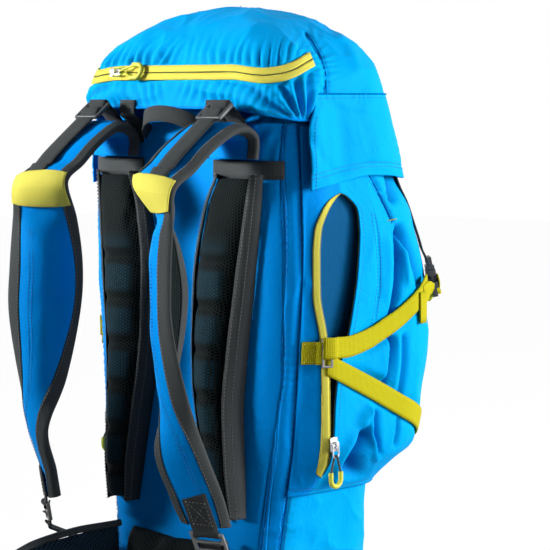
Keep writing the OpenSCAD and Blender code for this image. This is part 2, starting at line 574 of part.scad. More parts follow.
// the lid's edge rises at mid back and drops at the rear corners
function rim_dip(u) =
  lookup(u, [[0, 5], [0.6, 4], [1.1, 1], [1.5, -4], [1.8, -7], [2, -7], [2.4, -3], [3, 0], [5, 0]]);
dome_b = [0, 8, 18, 30, 42, 54, 66, 76, 84];
function dome_rows(off) = concat(
  [ring(function (u) at_z(dome(u, 0, off), rim_z + rim_dip(u)))],
  [for (b = dome_b) ring(function (u) dome(u, b, off))]);
module lid_dome() color(blue) slab(dome_rows(0), dome_rows(-wall), loop = true, cap = true);
module lid_floor() color(blue) translate([0, 0, seam_z + 6])
  round_plate(lid_w - wall - 2.4, axis_y + wall + 2.2, lid_front - wall - 2.2, 41, 71, 2);
function hem(u) = hem_z
  + lookup(u, [[1.88, -6], [2.2, -1], [2.5, 4], [2.8, 7], [3.1, 6], [3.3, 3.5], [3.45, 2], [5, 2]]);
function skirt_pt(u, f, off) =
  let (z = mix(hem(u), skirt_z, f), g = max(0, (z - hem_z) / skirt_drop), e = gap + wall + off)
  at_z(outline(u, lid_w + mix(8, gap + wall, g) + off, axis_y - e,
    lid_front + mix(22, gap + wall, g) + off, rb + e, rl + e), z);
module lid_skirt() {
  us = [1.88, 1.94, 2, 2.2, 2.5, 2.8, 3, 3.15, 3.3, 3.5, 3.75, 4, 4.5];
  function row(f, off) = concat([for (u = us) skirt_pt(u, f, off)], [skirt_pt(5, f, off)],
    [for (k = [len(us) - 1 : -1 : 0]) flip(skirt_pt(us[k], f, off))]);
  fs = [0, 0.3, 0.6, 0.85, 1];
  color(blue) slab([for (f = fs) row(f, 0)], [for (f = fs) row(f, -wall)]);
}
// two webbing tabs that hold the lid's back edge to the back panel
module lid_tabs() color(grey) both()
  ribbon([[62 * ws, seat_y, zz(484)], [62 * ws, seat_y, zz(498)],
    [62 * ws, back_y - 5.5, bag_height + 2], [62 * ws, axis_y - 1.9, rim_z - 1],
    [62 * ws, axis_y - 1.1, seam_z + 2]], [1, 0, 0], webbing_width + 2, webbing_thickness);
zip_b = asin(29 / lid_rise);
zip_h = tape_width / lid_rise * 57.3;
// straight across the back, dipping round the corners and rising at its ends
function zip_lift(u) =
  lookup(u, [[0.8, 0], [1.1, -1.6], [1.3, -2.3], [1.5, -1.5], [1.7, 0.8], [1.9, 4.3], [2.05, 6.8]]);
module lid_zip() {
  us = [0, 0.4, 0.8, 0.95, 1.1, 1.2, 1.3, 1.4, 1.5, 1.6, 1.7, 1.8, 1.9, 2.05];
  function row(b, off) = concat(
    [for (k = [len(us) - 1 : -1 : 1]) flip(dome(us[k], b + zip_lift(us[k]), off))],
    [for (u = us) dome(u, b + zip_lift(u), off)]);
  for (b = [zip_b - zip_h - 0.4, zip_b + 0.4])
    slab([row(b, 1.4), row(b + zip_h, 1.4)], [row(b, 0.2), row(b + zip_h, 0.2)]);
}
lid_slide = [-84 * ws, lid_mid + (axis_y - lid_mid) * cos(zip_b), seam_z + lid_rise * sin(zip_b)];
lid_tilt = atan((lid_mid - axis_y) / lid_rise * tan(zip_b));
module lid_frame() translate(lid_slide) rotate([-lid_tilt, 0, 0])
  multmatrix([[0, 0, -1, 0], [-1, 0, 0, 0], [0, 1, 0, 0]]) translate([-0.8, 0, 0]) children();
module lid_slider() color(steel) lid_frame() slider(false);
module lid_pull() color(lime) lid_frame() {
  bail();
  grip_cord();
}

base_panel();
back_panel();
side_wall_left();
side_wall_right();
front_wall();
collar();
cord_eyelet();
frame_sheet();
frame_stays();
frame_sleeve();
back_pad_left();
back_pad_right();
pad_strips();
shoulder_strap_left();
shoulder_strap_right();
strap_bands();
lifter_webbing_left();
lifter_webbing_right();
lifter_buckle_left();
lifter_buckle_right();
lifter_anchors();
strap_tabs();
strap_buckle_left();
strap_buckle_right();
strap_webbings();
haul_loop();
lumbar_pad();
hip_wing_left();
hip_wing_right();
hip_webbing_left();
hip_webbing_right();
hip_buckle_male();
hip_buckle_female();
pocket_side_left();
pocket_side_right();
pocket_front();
pocket_zip_left();
pocket_zip_right();
pocket_slider_left();
pocket_slider_right();
pocket_bail_left();
pocket_bail_right();
pocket_pull_left();
pocket_pull_right();
side_strap_left();
side_strap_right();
side_tabs();
side_rings();
front_webbings();
buckle_socket_left();
buckle_socket_right();
buckle_plug_left();
buckle_plug_right();
lid_tabs();
lid_dome();
lid_floor();
lid_skirt();
lid_zip();
lid_slider();
lid_pull();
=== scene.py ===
"""Hiking backpack: cloth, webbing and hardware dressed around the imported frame."""
from __future__ import annotations

import logging
import math
from dataclasses import dataclass, field
from enum import Enum
from typing import Callable, Iterable, Sequence

import bpy
import bmesh
import numpy as np
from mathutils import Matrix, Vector

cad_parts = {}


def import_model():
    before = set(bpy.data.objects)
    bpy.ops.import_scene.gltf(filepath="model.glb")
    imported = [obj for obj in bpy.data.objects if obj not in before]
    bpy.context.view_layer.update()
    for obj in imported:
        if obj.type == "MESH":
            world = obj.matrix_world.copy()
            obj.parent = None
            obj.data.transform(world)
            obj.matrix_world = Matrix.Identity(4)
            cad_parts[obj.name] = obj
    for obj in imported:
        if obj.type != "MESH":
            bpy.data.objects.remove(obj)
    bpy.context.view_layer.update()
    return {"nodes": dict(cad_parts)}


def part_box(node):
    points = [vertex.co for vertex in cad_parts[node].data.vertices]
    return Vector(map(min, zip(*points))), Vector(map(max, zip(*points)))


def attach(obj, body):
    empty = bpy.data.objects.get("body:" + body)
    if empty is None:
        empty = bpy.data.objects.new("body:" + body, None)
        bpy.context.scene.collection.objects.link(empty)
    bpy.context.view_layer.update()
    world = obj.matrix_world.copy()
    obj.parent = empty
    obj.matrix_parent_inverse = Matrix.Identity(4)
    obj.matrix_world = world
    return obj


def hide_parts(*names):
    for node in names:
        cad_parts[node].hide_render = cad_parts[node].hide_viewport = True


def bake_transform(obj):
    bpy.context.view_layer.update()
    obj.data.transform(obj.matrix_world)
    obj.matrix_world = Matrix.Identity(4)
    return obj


logging.basicConfig(level=logging.INFO, format="%(message)s")
LOG = logging.getLogger("backpack")
MM = 0.001
DIAG = math.sqrt(0.5)
Array = np.ndarray
Pairs = Sequence[tuple[float, float]]


class Side(Enum):
    """Side of the wearer; the value is the sign of X."""

    LEFT = 1
    RIGHT = -1

    @property
    def tag(self) -> str:
        """Name ending of the side's pieces."""
        return self.name.lower()

    def turn(self, p: Array) -> Array:
        """Points of the left side, brought to this side."""
        return p if self is Side.LEFT else flip(p)

    def patch(self, p: Patch) -> Patch:
        """Grid of the left side, brought to this side."""
        return p if self is Side.LEFT else p.mirrored()

    def once(self, node: str) -> tuple[str, ...]:
        """Node that holds both sides: the left piece stands for it."""
        return (node,) if self is Side.LEFT else ()


class Slot(Enum):
    """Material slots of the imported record."""

    SHELL = "shell_fabric"
    LINING = "lining_fabric"
    MESH = "mesh_fabric"
    GREY = "grey_webbing"
    LIME = "lime_webbing"
    BUCKLE = "buckle_plastic"
    ZIP = "zip_tape"
    METAL = "zip_metal"
    GRIP = "pull_grip"


# Curves and forms of the bag, in millimetres


class Profile:
    """Smooth value along one axis through given stations."""

    def __init__(self, pairs: Pairs) -> None:
        """Store stations and monotone slopes.

        Args:
            pairs: (position, value) stations in rising order.
        """
        self.x = np.array([p[0] for p in pairs], float)
        self.y = np.array([p[1] for p in pairs], float)
        self.h = np.diff(self.x)
        d = np.diff(self.y) / self.h
        self.m = np.concatenate(([d[0]], np.zeros(len(d) - 1), [d[-1]]))
        for k in range(1, len(d)):
            if d[k - 1] * d[k] > 0:
                self.m[k] = 2 * d[k - 1] * d[k] / (d[k - 1] + d[k])

    def __call__(self, v: Array | float) -> Array:
        """Value at v, held at the end stations.

        Args:
            v: positions.
        Returns:
            Interpolated values.
        """
        v = np.clip(np.asarray(v, float), self.x[0], self.x[-1])
        i = np.clip(np.searchsorted(self.x, v) - 1, 0, len(self.h) - 1)
        h = self.h[i]
        t = (v - self.x[i]) / h
        return (self.y[i] * (1 + 2 * t) * (1 - t) ** 2 + self.m[i] * h * t * (1 - t) ** 2
                + self.y[i + 1] * t * t * (3 - 2 * t) + self.m[i + 1] * h * t * t * (t - 1))


def smooth(t: Array | float) -> Array:
    """Smooth step of t from 0 to 1."""
    t = np.clip(t, 0, 1)
    return t * t * (3 - 2 * t)


def left_half(u: Array) -> Array:
    """Place on the left half that mirrors a place anywhere round an outline."""
    return np.where(u > 5, 10 - u, u)


def outline(u: Array, w: Array, yb: Array, yf: Array, r1: Array, r2: Array) -> tuple[Array, Array]:
    """Point of a rounded outline.

    Args:
        u: place round the outline, 0 mid back to 5 mid front and on to 10.
        w: half width.
        yb: back.
        yf: front.
        r1: radius of the back corners.
        r2: radius of the front corners.
    Returns:
        X and Y.
    """
    s = np.where(u > 5, -1.0, 1.0)
    u = left_half(u)
    a = (np.clip(u, 1, 2) - 1) * np.pi / 2
    b = (np.clip(u, 3, 4) - 3) * np.pi / 2
    x = np.select([u < 1, u < 2, u < 3, u < 4],
                  [u * (w - r1), w - r1 + r1 * np.sin(a), w + 0 * u, w - r2 + r2 * np.cos(b)],
                  (w - r2) * (5 - u))
    y = np.select([u < 1, u < 2, u < 3, u < 4],
                  [yb + 0 * u, yb + r1 - r1 * np.cos(a), yb + r1 + (u - 2) * (yf - yb - r1 - r2),
                   yf - r2 + r2 * np.sin(b)], yf + 0 * u)
    return s * x, y


GAP, WALL = 0.3, 3.0
BACK_Y, FRONT_Y, RIM_Z = -75.0, 85.0, 505.0
R_BACK, R_FRONT, R_POCKET, R_LID = 45.0, 70.0, 80.0, 75.0
LID_W, LID_BACK, LID_FRONT, LID_MID = 150.0, -86.0, 112.0, 13.0
SEAM_Z, LID_RISE, SKIRT_Z, HEM_Z = 525.0, 95.0, 530.0, 446.0
SKIRT_DROP = SKIRT_Z - HEM_Z
POCKET_REAR, POCKET_FOOT, POCKET_TOP = 1.72, 138.5, 503.0
POCKET_SIDE, POCKET_BULGE = 21.0, 78.0
WIDE = Profile([(0, 105), (4, 108), (20, 116), (60, 120), (126, 126), (190, 136), (272, 143),
                (392, 149), (440, 147), (505, 144)])
DEEP = Profile([(0, 1), (4, 5), (20, 19), (60, 25), (126, 23), (190, 15), (272, 7), (392, 0), (505, 0)])
FRONT_BULGE = Profile([(126, 0), (146, .12), (160, .3), (181, .59), (203, .71), (232, .82), (256, .9),
                       (300, .97), (340, .99), (373, .905), (404, .75), (425, .65), (440, .55),
                       (470, .38), (490, .22), (503, 0)])
SIDE_BULGE = Profile([(126, 0), (140, .04), (146, .22), (160, .62), (175, .94), (190, 1), (230, .82), (272, .65),
                      (330, .51), (392, .37), (415, .3), (440, .17), (470, .1), (503, 0)])
REAR_LIP = Profile([(157, 2.075), (160, 2.05), (185, 2.03), (216, 2.03), (260, 2.025), (295, 2),
                    (340, 1.91), (380, 1.9), (400, 1.92), (420, 2.03), (434, 2.22), (437, 2.3)])
FRONT_LIP = Profile([(157, 2.075), (160, 2.11), (185, 2.09), (216, 2.1), (260, 2.145), (295, 2.26),
                     (340, 2.35), (380, 2.435), (400, 2.49), (420, 2.52), (434, 2.4), (437, 2.3)])
STRAP_RISE = Profile([(1.8, 287), (2, 287), (2.2, 286), (2.5, 292), (2.64, 298), (2.9, 310.5), (3.12, 325), (3.36, 339),
                      (5, 339)])
HEM = Profile([(1.88, -6), (2.2, -1), (2.5, 4), (2.8, 7), (3.1, 6), (3.3, 3.5), (3.45, 2), (5, 2)])


def stack(x: Array, y: Array, z: Array) -> Array:
    """Points from their coordinates."""
    return np.stack(np.broadcast_arrays(x, y, z), axis=-1)


def bag_pt(u: Array, z: Array, off: Array | float = 0.0) -> Array:
    """Point of the bag's wall at place u and height z, off the wall by off."""
    x, y = outline(u, WIDE(z) + off, BACK_Y - off, FRONT_Y + DEEP(z) + off, R_BACK + off, R_FRONT + off)
    return stack(x, y, z)


def pocket_pt(u: Array, z: Array, off: Array | float = 0.0) -> Array:
    """Point of the front pocket at place u and height z, off its face by off."""
    u, z = np.broadcast_arrays(np.asarray(u, float), np.asarray(z, float))
    w = smooth((left_half(u) - POCKET_REAR) / 0.38)
    o = GAP + WALL + off
    hw, fy = WIDE(z), FRONT_Y + DEEP(z)
    px, py = outline(u, hw + o, BACK_Y - o, fy + o, R_BACK + o, R_FRONT + o)
    r = R_FRONT + o + (R_POCKET + off - R_FRONT - o) * np.minimum(1, 2.5 * FRONT_BULGE(z))
    qx, qy = outline(u, hw + GAP + WALL + POCKET_SIDE * SIDE_BULGE(z) + off, BACK_Y - o,
                     fy + GAP + WALL + POCKET_BULGE * FRONT_BULGE(z) + off, R_BACK + o, r)
    return stack(px + (qx - px) * w, py + (qy - py) * w, z)


def dome_pt(u: Array, b: Array, off: Array | float = 0.0) -> Array:
    """Point of the lid's dome at place u and rise angle b in degrees."""
    b = np.radians(np.asarray(b, float))
    c = np.cos(b)
    x, y = outline(u, (LID_W + off) * c, LID_MID + (LID_BACK - off - LID_MID) * c,
                   LID_MID + (LID_FRONT + off - LID_MID) * c, (R_BACK + off) * c, (R_LID + off) * c)
    return stack(x, y, SEAM_Z + (LID_RISE + off) * np.sin(b))


def skirt_pt(u: Array, f: Array, off: Array | float = 0.0) -> Array:
    """Point of the lid's skirt at place u, f from hem (0) to top seam (1)."""
    u, f = np.broadcast_arrays(np.asarray(u, float), np.asarray(f, float))
    hem = HEM_Z + HEM(left_half(u))
    z = hem + (SKIRT_Z + 3 - hem) * f
    g = np.clip((z - HEM_Z) / SKIRT_DROP, 0, 1)
    seat = GAP + WALL - 2.4 * g ** 4
    e = seat + off
    x, y = outline(u, LID_W + 8 + (seat - 8) * g + off, LID_BACK - e,
                   LID_FRONT + 22 + (seat - 22) * g + off, R_BACK + e, R_LID + e)
    return stack(x, y, z)


# Camera plane of the main view: places of seams and folds are given on it, in pixels

EYE_R, EYE_Z, FOCAL_PX, AXIS_PX, HORIZON_PX = 2300.0, 532.0, 2231.0, 232.6, 95.0
FRAME_PX = 550.0
# the turned camera faces this point of the level picture, and its lens keeps that picture's size
AIM_PX = (275.0, 274.0)
TURNED_LENS = 1.006


def plane_xy(p: Array) -> tuple[Array, Array]:
    """Place of points on the camera plane, the right half mirrored onto the left.

    Args:
        p: points in millimetres.
    Returns:
        Horizontal and vertical place in pixels.
    """
    x, y = np.abs(p[..., 0]), p[..., 1]
    d = EYE_R + (y - x) * DIAG
    return (AXIS_PX + FOCAL_PX * (x + y) * DIAG / d,
            HORIZON_PX - FOCAL_PX * (p[..., 2] - EYE_Z) / d)


def trace(form: Callable[[Array, Array], Array], path: Pairs, lo: float, hi: float, n: int = 60) -> Array:
    """Find the points of a form that lie under a path on the camera plane.

    Args:
        form: surface of place and height.
        path: corners of the path in pixels.
        lo: lowest place searched.
        hi: highest place searched.
        n: number of points.
    Returns:
        Points in millimetres.
    """
    q = resample(np.array(path, float), n)
    z = EYE_Z - (q[:, 1] - HORIZON_PX) / 0.97
    u = np.full(n, (lo + hi) / 2)
    for _ in range(4):
        a, b = np.full(n, lo), np.full(n, hi)
        for _ in range(24):
            u = (a + b) / 2
            right = plane_xy(form(u, z))[0] > q[:, 0]
            b, a = np.where(right, u, b), np.where(right, a, u)
        z = z - (q[:, 1] - plane_xy(form(u, z))[1]) / 0.97
    return form(u, z)


def arc(p: Array) -> Array:
    """Length along a polyline up to each of its points."""
    return np.concatenate(([0], np.cumsum(np.linalg.norm(np.diff(p, axis=0), axis=1))))


def resample(p: Array, n: int) -> Array:
    """Spread n points evenly along a polyline."""
    s = arc(p)
    t = np.linspace(0, s[-1], n)
    return np.stack([np.interp(t, s, p[:, k]) for k in range(p.shape[1])], axis=1)


def catmull(q: Array, k: Array) -> Array:
    """Points at stations k of the smooth curve through the points q."""
    last = len(q) - 1
    k = np.clip(k, 0, last)
    i = np.clip(np.floor(k).astype(int), 0, last - 1)
    t = (k - i)[..., None]
    a, b, c, d = q[np.maximum(i - 1, 0)], q[i], q[i + 1], q[np.minimum(i + 2, last)]
    return 0.5 * (2 * b + (c - a) * t + (2 * a - 5 * b + 4 * c - d) * t ** 2 + (3 * b - a - 3 * c + d) * t ** 3)


def spline(p: Sequence[Sequence[float]], n: int) -> Array:
    """Smooth curve of n points through given points."""
    return catmull(np.array(p, float), np.linspace(0, len(p) - 1, n))


def flip(p: Array) -> Array:
    """Mirror points to the other side."""
    return p * np.array([-1.0, 1.0, 1.0])


def lattice(p: Array, seed: float) -> Array:
    """Smooth noise from -1 to 1 at points given in noise cells."""
    i = np.floor(p)
    f = p - i
    f = f * f * (3 - 2 * f)
    total = np.zeros(p.shape[:-1])
    for k in range(8):
        o = np.array([k & 1, k >> 1 & 1, k >> 2 & 1], float)
        c = i + o
        h = np.sin(c[..., 0] * 127.1 + c[..., 1] * 311.7 + c[..., 2] * 74.7 + seed) * 43758.5453
        w = np.prod(np.where(o > 0, f, 1 - f), axis=-1)
        total = total + w * (2 * (h - np.floor(h)) - 1)
    return total


def crumple(p: Array, cell: Sequence[float], height: float, seed: float) -> Array:
    """Soft ridges of loose cloth.

    Args:
        p: points in millimetres.
        cell: size of a fold along X, Y and Z.
        height: height of the ridges.
        seed: choice of pattern.
    Returns:
        Height off the surface.
    """
    q = p / np.array(cell, float)
    warp = lattice(q * 0.7 + 9.0, seed + 3)
    ridge = 1 - np.abs(lattice(q + 0.6 * warp[..., None], seed))
    return height * (ridge ** 3 - 0.3 + 0.25 * lattice(q * 2.3, seed + 7))


@dataclass(frozen=True)
class Crease:
    """Fold or seam line on the camera plane.

    A positive height is a ridge and a negative one a groove.
    """

    path: Pairs
    width: float
    height: float
    taper: float = 0.2
    lee: float | None = None
    pucker: float = 0.0
    reach: float = 9.0

    def on(self, p: Array, facing: Array) -> Array:
        """Height of the crease at points.

        Args:
            p: points in millimetres.
            facing: 1 where the surface faces the camera plane, else 0.
        Returns:
            Height off the surface.
        """
        x, y = plane_xy(p)
        q = np.array(self.path, float)
        seg = np.linalg.norm(np.diff(q, axis=0), axis=1)
        ends = np.concatenate(([0], np.cumsum(seg)))
        best, where, hand = np.full(x.shape, 1e9), np.zeros(x.shape), np.zeros(x.shape)
        for k in range(len(seg)):
            d = (q[k + 1] - q[k]) / seg[k]
            dx, dy = x - q[k, 0], y - q[k, 1]
            t = np.clip(dx * d[0] + dy * d[1], 0, seg[k])
            away = np.hypot(dx - t * d[0], dy - t * d[1])
            near = away < best
            where = np.where(near, ends[k] + t, where)
            hand = np.where(near, d[0] * dy - d[1] * dx, hand)
            best = np.minimum(best, away)
        wide = self.width if self.lee is None else np.where(hand > 0, self.width, self.lee)
        bump = self.height * np.exp(-(best / wide) ** 2)
        if self.pucker:
            wave = np.sin(where * 0.85 + 4 * lattice(p / 19.0, 5.0)) * (0.6 + 0.4 * lattice(p / 31.0, 9.0))
            bump = bump + self.pucker * wave * np.exp(-(best / self.reach) ** 2) * (1 - np.exp(-(best / 1.5) ** 2))
        share = where / ends[-1]
        fade = smooth(share / self.taper) * smooth((1 - share) / self.taper) if self.taper else 1.0
        return bump * fade * facing


# Meshes


@dataclass
class Patch:
    """Grid of surface points, rows by columns, that becomes a cloth shell."""

    pts: Array
    loop: bool = False
    # share of painted shade at each point, darkest in the deepest folds
    painted_fold_shade: Array | None = None

    def normals(self) -> Array:
        """Outward unit normals of the grid."""
        p = self.pts
        du = np.roll(p, -1, 1) - np.roll(p, 1, 1) if self.loop else np.gradient(p, axis=1)
        n = np.cross(du, np.gradient(p, axis=0))
        return n / np.maximum(np.linalg.norm(n, axis=-1, keepdims=True), 1e-9)

    def facing(self) -> Array:
        """How far the grid faces the main view, the right half mirrored."""
        n = self.normals()
        s = np.where(self.pts[..., 0] < 0, -1.0, 1.0)
        return smooth((n[..., 0] * s - n[..., 1]) * DIAG * 4 + 0.3)

    def push(self, height: Array) -> "Patch":
        """Move the points along their normals.

        Args:
            height: distance for each point.
        Returns:
            The moved grid.
        """
        self.pts = self.pts + self.normals() * np.asarray(height)[..., None]
        return self

    def crease(self, creases: Iterable[Crease]) -> "Patch":
        """Press folds and seams into the grid and return it."""
        base, facing = self.pts.copy(), self.facing()
        return self.push(sum((c.on(base, facing) for c in creases), np.zeros(base.shape[:2])))

    def mirrored(self) -> "Patch":
        """Copy on the other side, with its faces still outward."""
        return Patch(flip(self.pts)[:, ::-1].copy(), self.loop)

    def shell(self, name: str, mat: bpy.types.Material, thick: float = 1.2,
              inside: bpy.types.Material | None = None, marked: Array | None = None) -> bpy.types.Object:
        """Make a closed cloth shell whose outer face is the grid.

        Args:
            name: piece name.
            mat: finish of the outer face.
            thick: thickness in millimetres.
            inside: finish of the inner face.
            marked: points of the outer face that take the dark inner finish too, as painted shade.
        Returns:
            The new object.
        """
        p = self.pts
        rows, cols = p.shape[:2]
        q = p - self.normals() * thick
        n = rows * cols
        ce = cols if self.loop else cols - 1
        r, c = np.meshgrid(np.arange(rows - 1), np.arange(ce), indexing="ij")
        d = (c + 1) % cols
        outer = np.stack([r * cols + c, r * cols + d, (r + 1) * cols + d, (r + 1) * cols + c], -1).reshape(-1, 4)
        inner = outer[:, ::-1] + n
        cc = np.arange(ce)
        dd = (cc + 1) % cols
        top = (rows - 1) * cols
        rim = [np.stack([cc, cc + n, dd + n, dd], -1),
               np.stack([top + dd, top + dd + n, top + cc + n, top + cc], -1)]
        if not self.loop:
            rr = np.arange(rows - 1) * cols
            e = cols - 1
            rim += [np.stack([rr + cols, rr + cols + n, rr + n, rr], -1),
                    np.stack([rr + e, rr + e + n, rr + cols + e + n, rr + cols + e], -1)]
        faces = np.concatenate([outer, inner] + rim)
        s = np.concatenate((np.zeros((rows, 1)), np.cumsum(np.linalg.norm(np.diff(p, axis=1), axis=-1), 1)), 1)
        s = np.broadcast_to(s.mean(0), (rows, cols))
        t = np.concatenate((np.zeros((1, cols)), np.cumsum(np.linalg.norm(np.diff(p, axis=0), axis=-1), 0)), 0)
        t = np.broadcast_to(t.mean(1)[:, None], (rows, cols))
        uv = np.tile(np.stack([s, t], -1).reshape(-1, 2), (2, 1)) * MM
        ob = mesh_object(name, np.concatenate([p.reshape(-1, 3), q.reshape(-1, 3)]), faces, uv, [mat])
        if inside is not None:
            ob.data.materials.append(inside)
            index = np.zeros(len(faces), np.int32)
            index[len(outer):len(outer) * 2] = 1
            # marked outer faces take the dark inner finish: painted shade
            if marked is not None:
                index[:len(outer)] = marked.reshape(-1)[outer].all(axis=1)
            ob.data.polygons.foreach_set("material_index", index)
        # painted fold shade goes to the mesh as a point attribute
        if self.painted_fold_shade is not None:
            mark_foam_and_fold_shade(ob, np.tile(self.painted_fold_shade.reshape(-1), 2))
        return ob


def linked(name: str, data: bpy.types.ID) -> bpy.types.Object:
    """New object of the scene with the given data."""
    ob = bpy.data.objects.new(name, data)
    bpy.context.collection.objects.link(ob)
    return ob


def smooth_faces(me: bpy.types.Mesh) -> None:
    """Shade all faces of a mesh smoothly."""
    me.polygons.foreach_set("use_smooth", np.ones(len(me.polygons), bool))


def write_uv(me: bpy.types.Mesh, uv: Array) -> None:
    """Give a mesh the place of each point on its cloth, in metres."""
    if not me.uv_layers:
        me.uv_layers.new(name="Cloth")
    corner = np.zeros(len(me.loops), np.int32)
    me.loops.foreach_get("vertex_index", corner)
    me.uv_layers[0].data.foreach_set("uv", np.asarray(uv, np.float32)[corner].reshape(-1))


def baked(ob: bpy.types.Object) -> bpy.types.Mesh:
    """Mesh of an object with its modifiers applied."""
    graph = bpy.context.evaluated_depsgraph_get()
    return bpy.data.meshes.new_from_object(ob.evaluated_get(graph), depsgraph=graph)


def bake(ob: bpy.types.Object) -> None:
    """Apply an object's modifiers."""
    me = baked(ob)
    ob.modifiers.clear()
    ob.data = me


def mesh_object(name: str, pts: Array, faces: Array | Sequence[Sequence[int]], uv: Array | None,
                mats: Sequence[bpy.types.Material]) -> bpy.types.Object:
    """Make a smooth mesh object from points in millimetres.

    Args:
        name: piece name.
        pts: points.
        faces: corners of each face.
        uv: place on the cloth for each point, in metres.
        mats: finishes.
    Returns:
        The new object.
    """
    me = bpy.data.meshes.new(name)
    me.from_pydata((np.asarray(pts) * MM).tolist(), [], [list(map(int, f)) for f in faces])
    if uv is not None:
        write_uv(me, uv)
    for m in mats:
        me.materials.append(m)
    smooth_faces(me)
    me.update()
    return linked(name, me)


def joined(name: str, obs: Sequence[bpy.types.Object]) -> bpy.types.Object:
    """Join objects into one piece of the given name."""
    bpy.ops.object.select_all(action="DESELECT")
    for o in obs:
        o.select_set(True)
    bpy.context.view_layer.objects.active = obs[0]
    if len(obs) > 1:
        bpy.ops.object.join()
    obs[0].name = obs[0].data.name = name
    return obs[0]


def swept(name: str, path: Array, across: Array, profile: Array, mat: bpy.types.Material) -> bpy.types.Object:
    """Sweep a closed profile along a path.

    Args:
        name: piece name.
        path: points in millimetres.
        across: unit width direction at each point.
        profile: closed outline as (across, up) pairs, turning left.
        mat: finish.
    Returns:
        The new object, capped at both ends.
    """
    tan = np.gradient(path, axis=0)
    tan /= np.linalg.norm(tan, axis=1, keepdims=True)
    across = across - tan * np.sum(across * tan, axis=1, keepdims=True)
    across /= np.linalg.norm(across, axis=1, keepdims=True)
    up = np.cross(tan, across)
    n, m = len(path), len(profile)
    pts = (path[:, None] + across[:, None] * profile[None, :, :1] + up[:, None] * profile[None, :, 1:]).reshape(-1, 3)
    faces = [[i * m + k, i * m + (k + 1) % m, (i + 1) * m + (k + 1) % m, (i + 1) * m + k]
             for i in range(n - 1) for k in range(m)]
    faces += [list(range(m))[::-1], [(n - 1) * m + k for k in range(m)]]
    s = arc(path)
    uv = np.stack([np.repeat(s, m), np.tile(profile[:, 0], n)], -1) * MM
    return mesh_object(name, pts, faces, uv, [mat])


def flat_profile(width: float, thick: float) -> Array:
    """Outline of flat webbing with soft edges."""
    w, t = width / 2, thick / 2
    half = [(-w + 0.5 * t, -t), (-0.5 * w, -t), (0, -t), (0.5 * w, -t), (w - 0.5 * t, -t), (w, -0.35 * t)]
    return np.array(half + [(-x, -y) for x, y in half])


def round_profile(r: float, n: int = 10) -> Array:
    """Outline of a round cord or piping."""
    a = np.arange(n) * 2 * np.pi / n
    return np.stack([r * np.cos(a), r * np.sin(a)], -1)


def webbing(name: str, path: Array, across: Array | Sequence[float], width: float,
            mat: bpy.types.Material, thick: float = 1.6) -> bpy.types.Object:
    """Make flat webbing along a path, its width along a direction or directions."""
    a = np.broadcast_to(np.asarray(across, float), path.shape).copy()
    return swept(name, path, a, flat_profile(width, thick), mat)


def tube(name: str, path: Array, r: float, mat: bpy.types.Material, n: int = 10) -> bpy.types.Object:
    """Make a round cord or piping along a path."""
    tan = np.gradient(path, axis=0)
    steep = np.abs(tan[:, 2:]) > 0.7 * np.linalg.norm(tan, axis=1, keepdims=True)
    ref = np.where(steep, [[1.0, 0.3, 0]], [[0.0, 0, 1]])
    a = np.cross(ref, tan)
    a /= np.linalg.norm(a, axis=1, keepdims=True)
    for k in range(1, len(a)):
        t = tan[k] / np.linalg.norm(tan[k])
        a[k] = a[k - 1] - t * np.dot(a[k - 1], t)
        a[k] /= np.linalg.norm(a[k])
    return swept(name, path, a, round_profile(r, n), mat)


# Shader effects shared by the finishes


class Wiring:
    """Small helper that adds and links shader nodes in one tree."""

    def __init__(self, tree: bpy.types.NodeTree) -> None:
        """Keep the tree."""
        self.tree = tree

    def add(self, kind: str, **values: object) -> bpy.types.Node:
        """Add a node.

        Args:
            kind: node type.
            values: node properties.
        Returns:
            The node.
        """
        node = self.tree.nodes.new(kind)
        for key, value in values.items():
            setattr(node, key, value)
        return node

    def math(self, op: str, a: object, b: object = 0.0) -> bpy.types.NodeSocket:
        """Add a math node and return its output."""
        node = self.add("ShaderNodeMath", operation=op)
        self.feed(node.inputs[0], a)
        self.feed(node.inputs[1], b)
        return node.outputs[0]

    def feed(self, socket: bpy.types.NodeSocket, value: object) -> None:
        """Link a socket to another or give it a plain value."""
        if isinstance(value, bpy.types.NodeSocket):
            self.tree.links.new(value, socket)
        else:
            socket.default_value = value

    def mix(self, share: object, a: object, b: object) -> bpy.types.NodeSocket:
        """Mix two colours and return the result."""
        node = self.add("ShaderNodeMix", data_type="RGBA")
        self.feed(node.inputs[0], share)
        self.feed(node.inputs[6], a)
        self.feed(node.inputs[7], b)
        return node.outputs[2]


def effect(name: str, inputs: Sequence[tuple[str, str, object]],
           outputs: Sequence[tuple[str, str]]) -> tuple[bpy.types.NodeTree, Wiring]:
    """Start a shader node group with named sockets.

    Args:
        name: group name.
        inputs: (name, socket type, default).
        outputs: (name, socket type).
    Returns:
        The group and its wiring helper.
    """
    tree = bpy.data.node_groups.new(name, "ShaderNodeTree")
    for label, kind, value in inputs:
        sock = tree.interface.new_socket(label, in_out="INPUT", socket_type=kind)
        if value is not None:
            sock.default_value = value
    for label, kind in outputs:
        tree.interface.new_socket(label, in_out="OUTPUT", socket_type=kind)
    return tree, Wiring(tree)


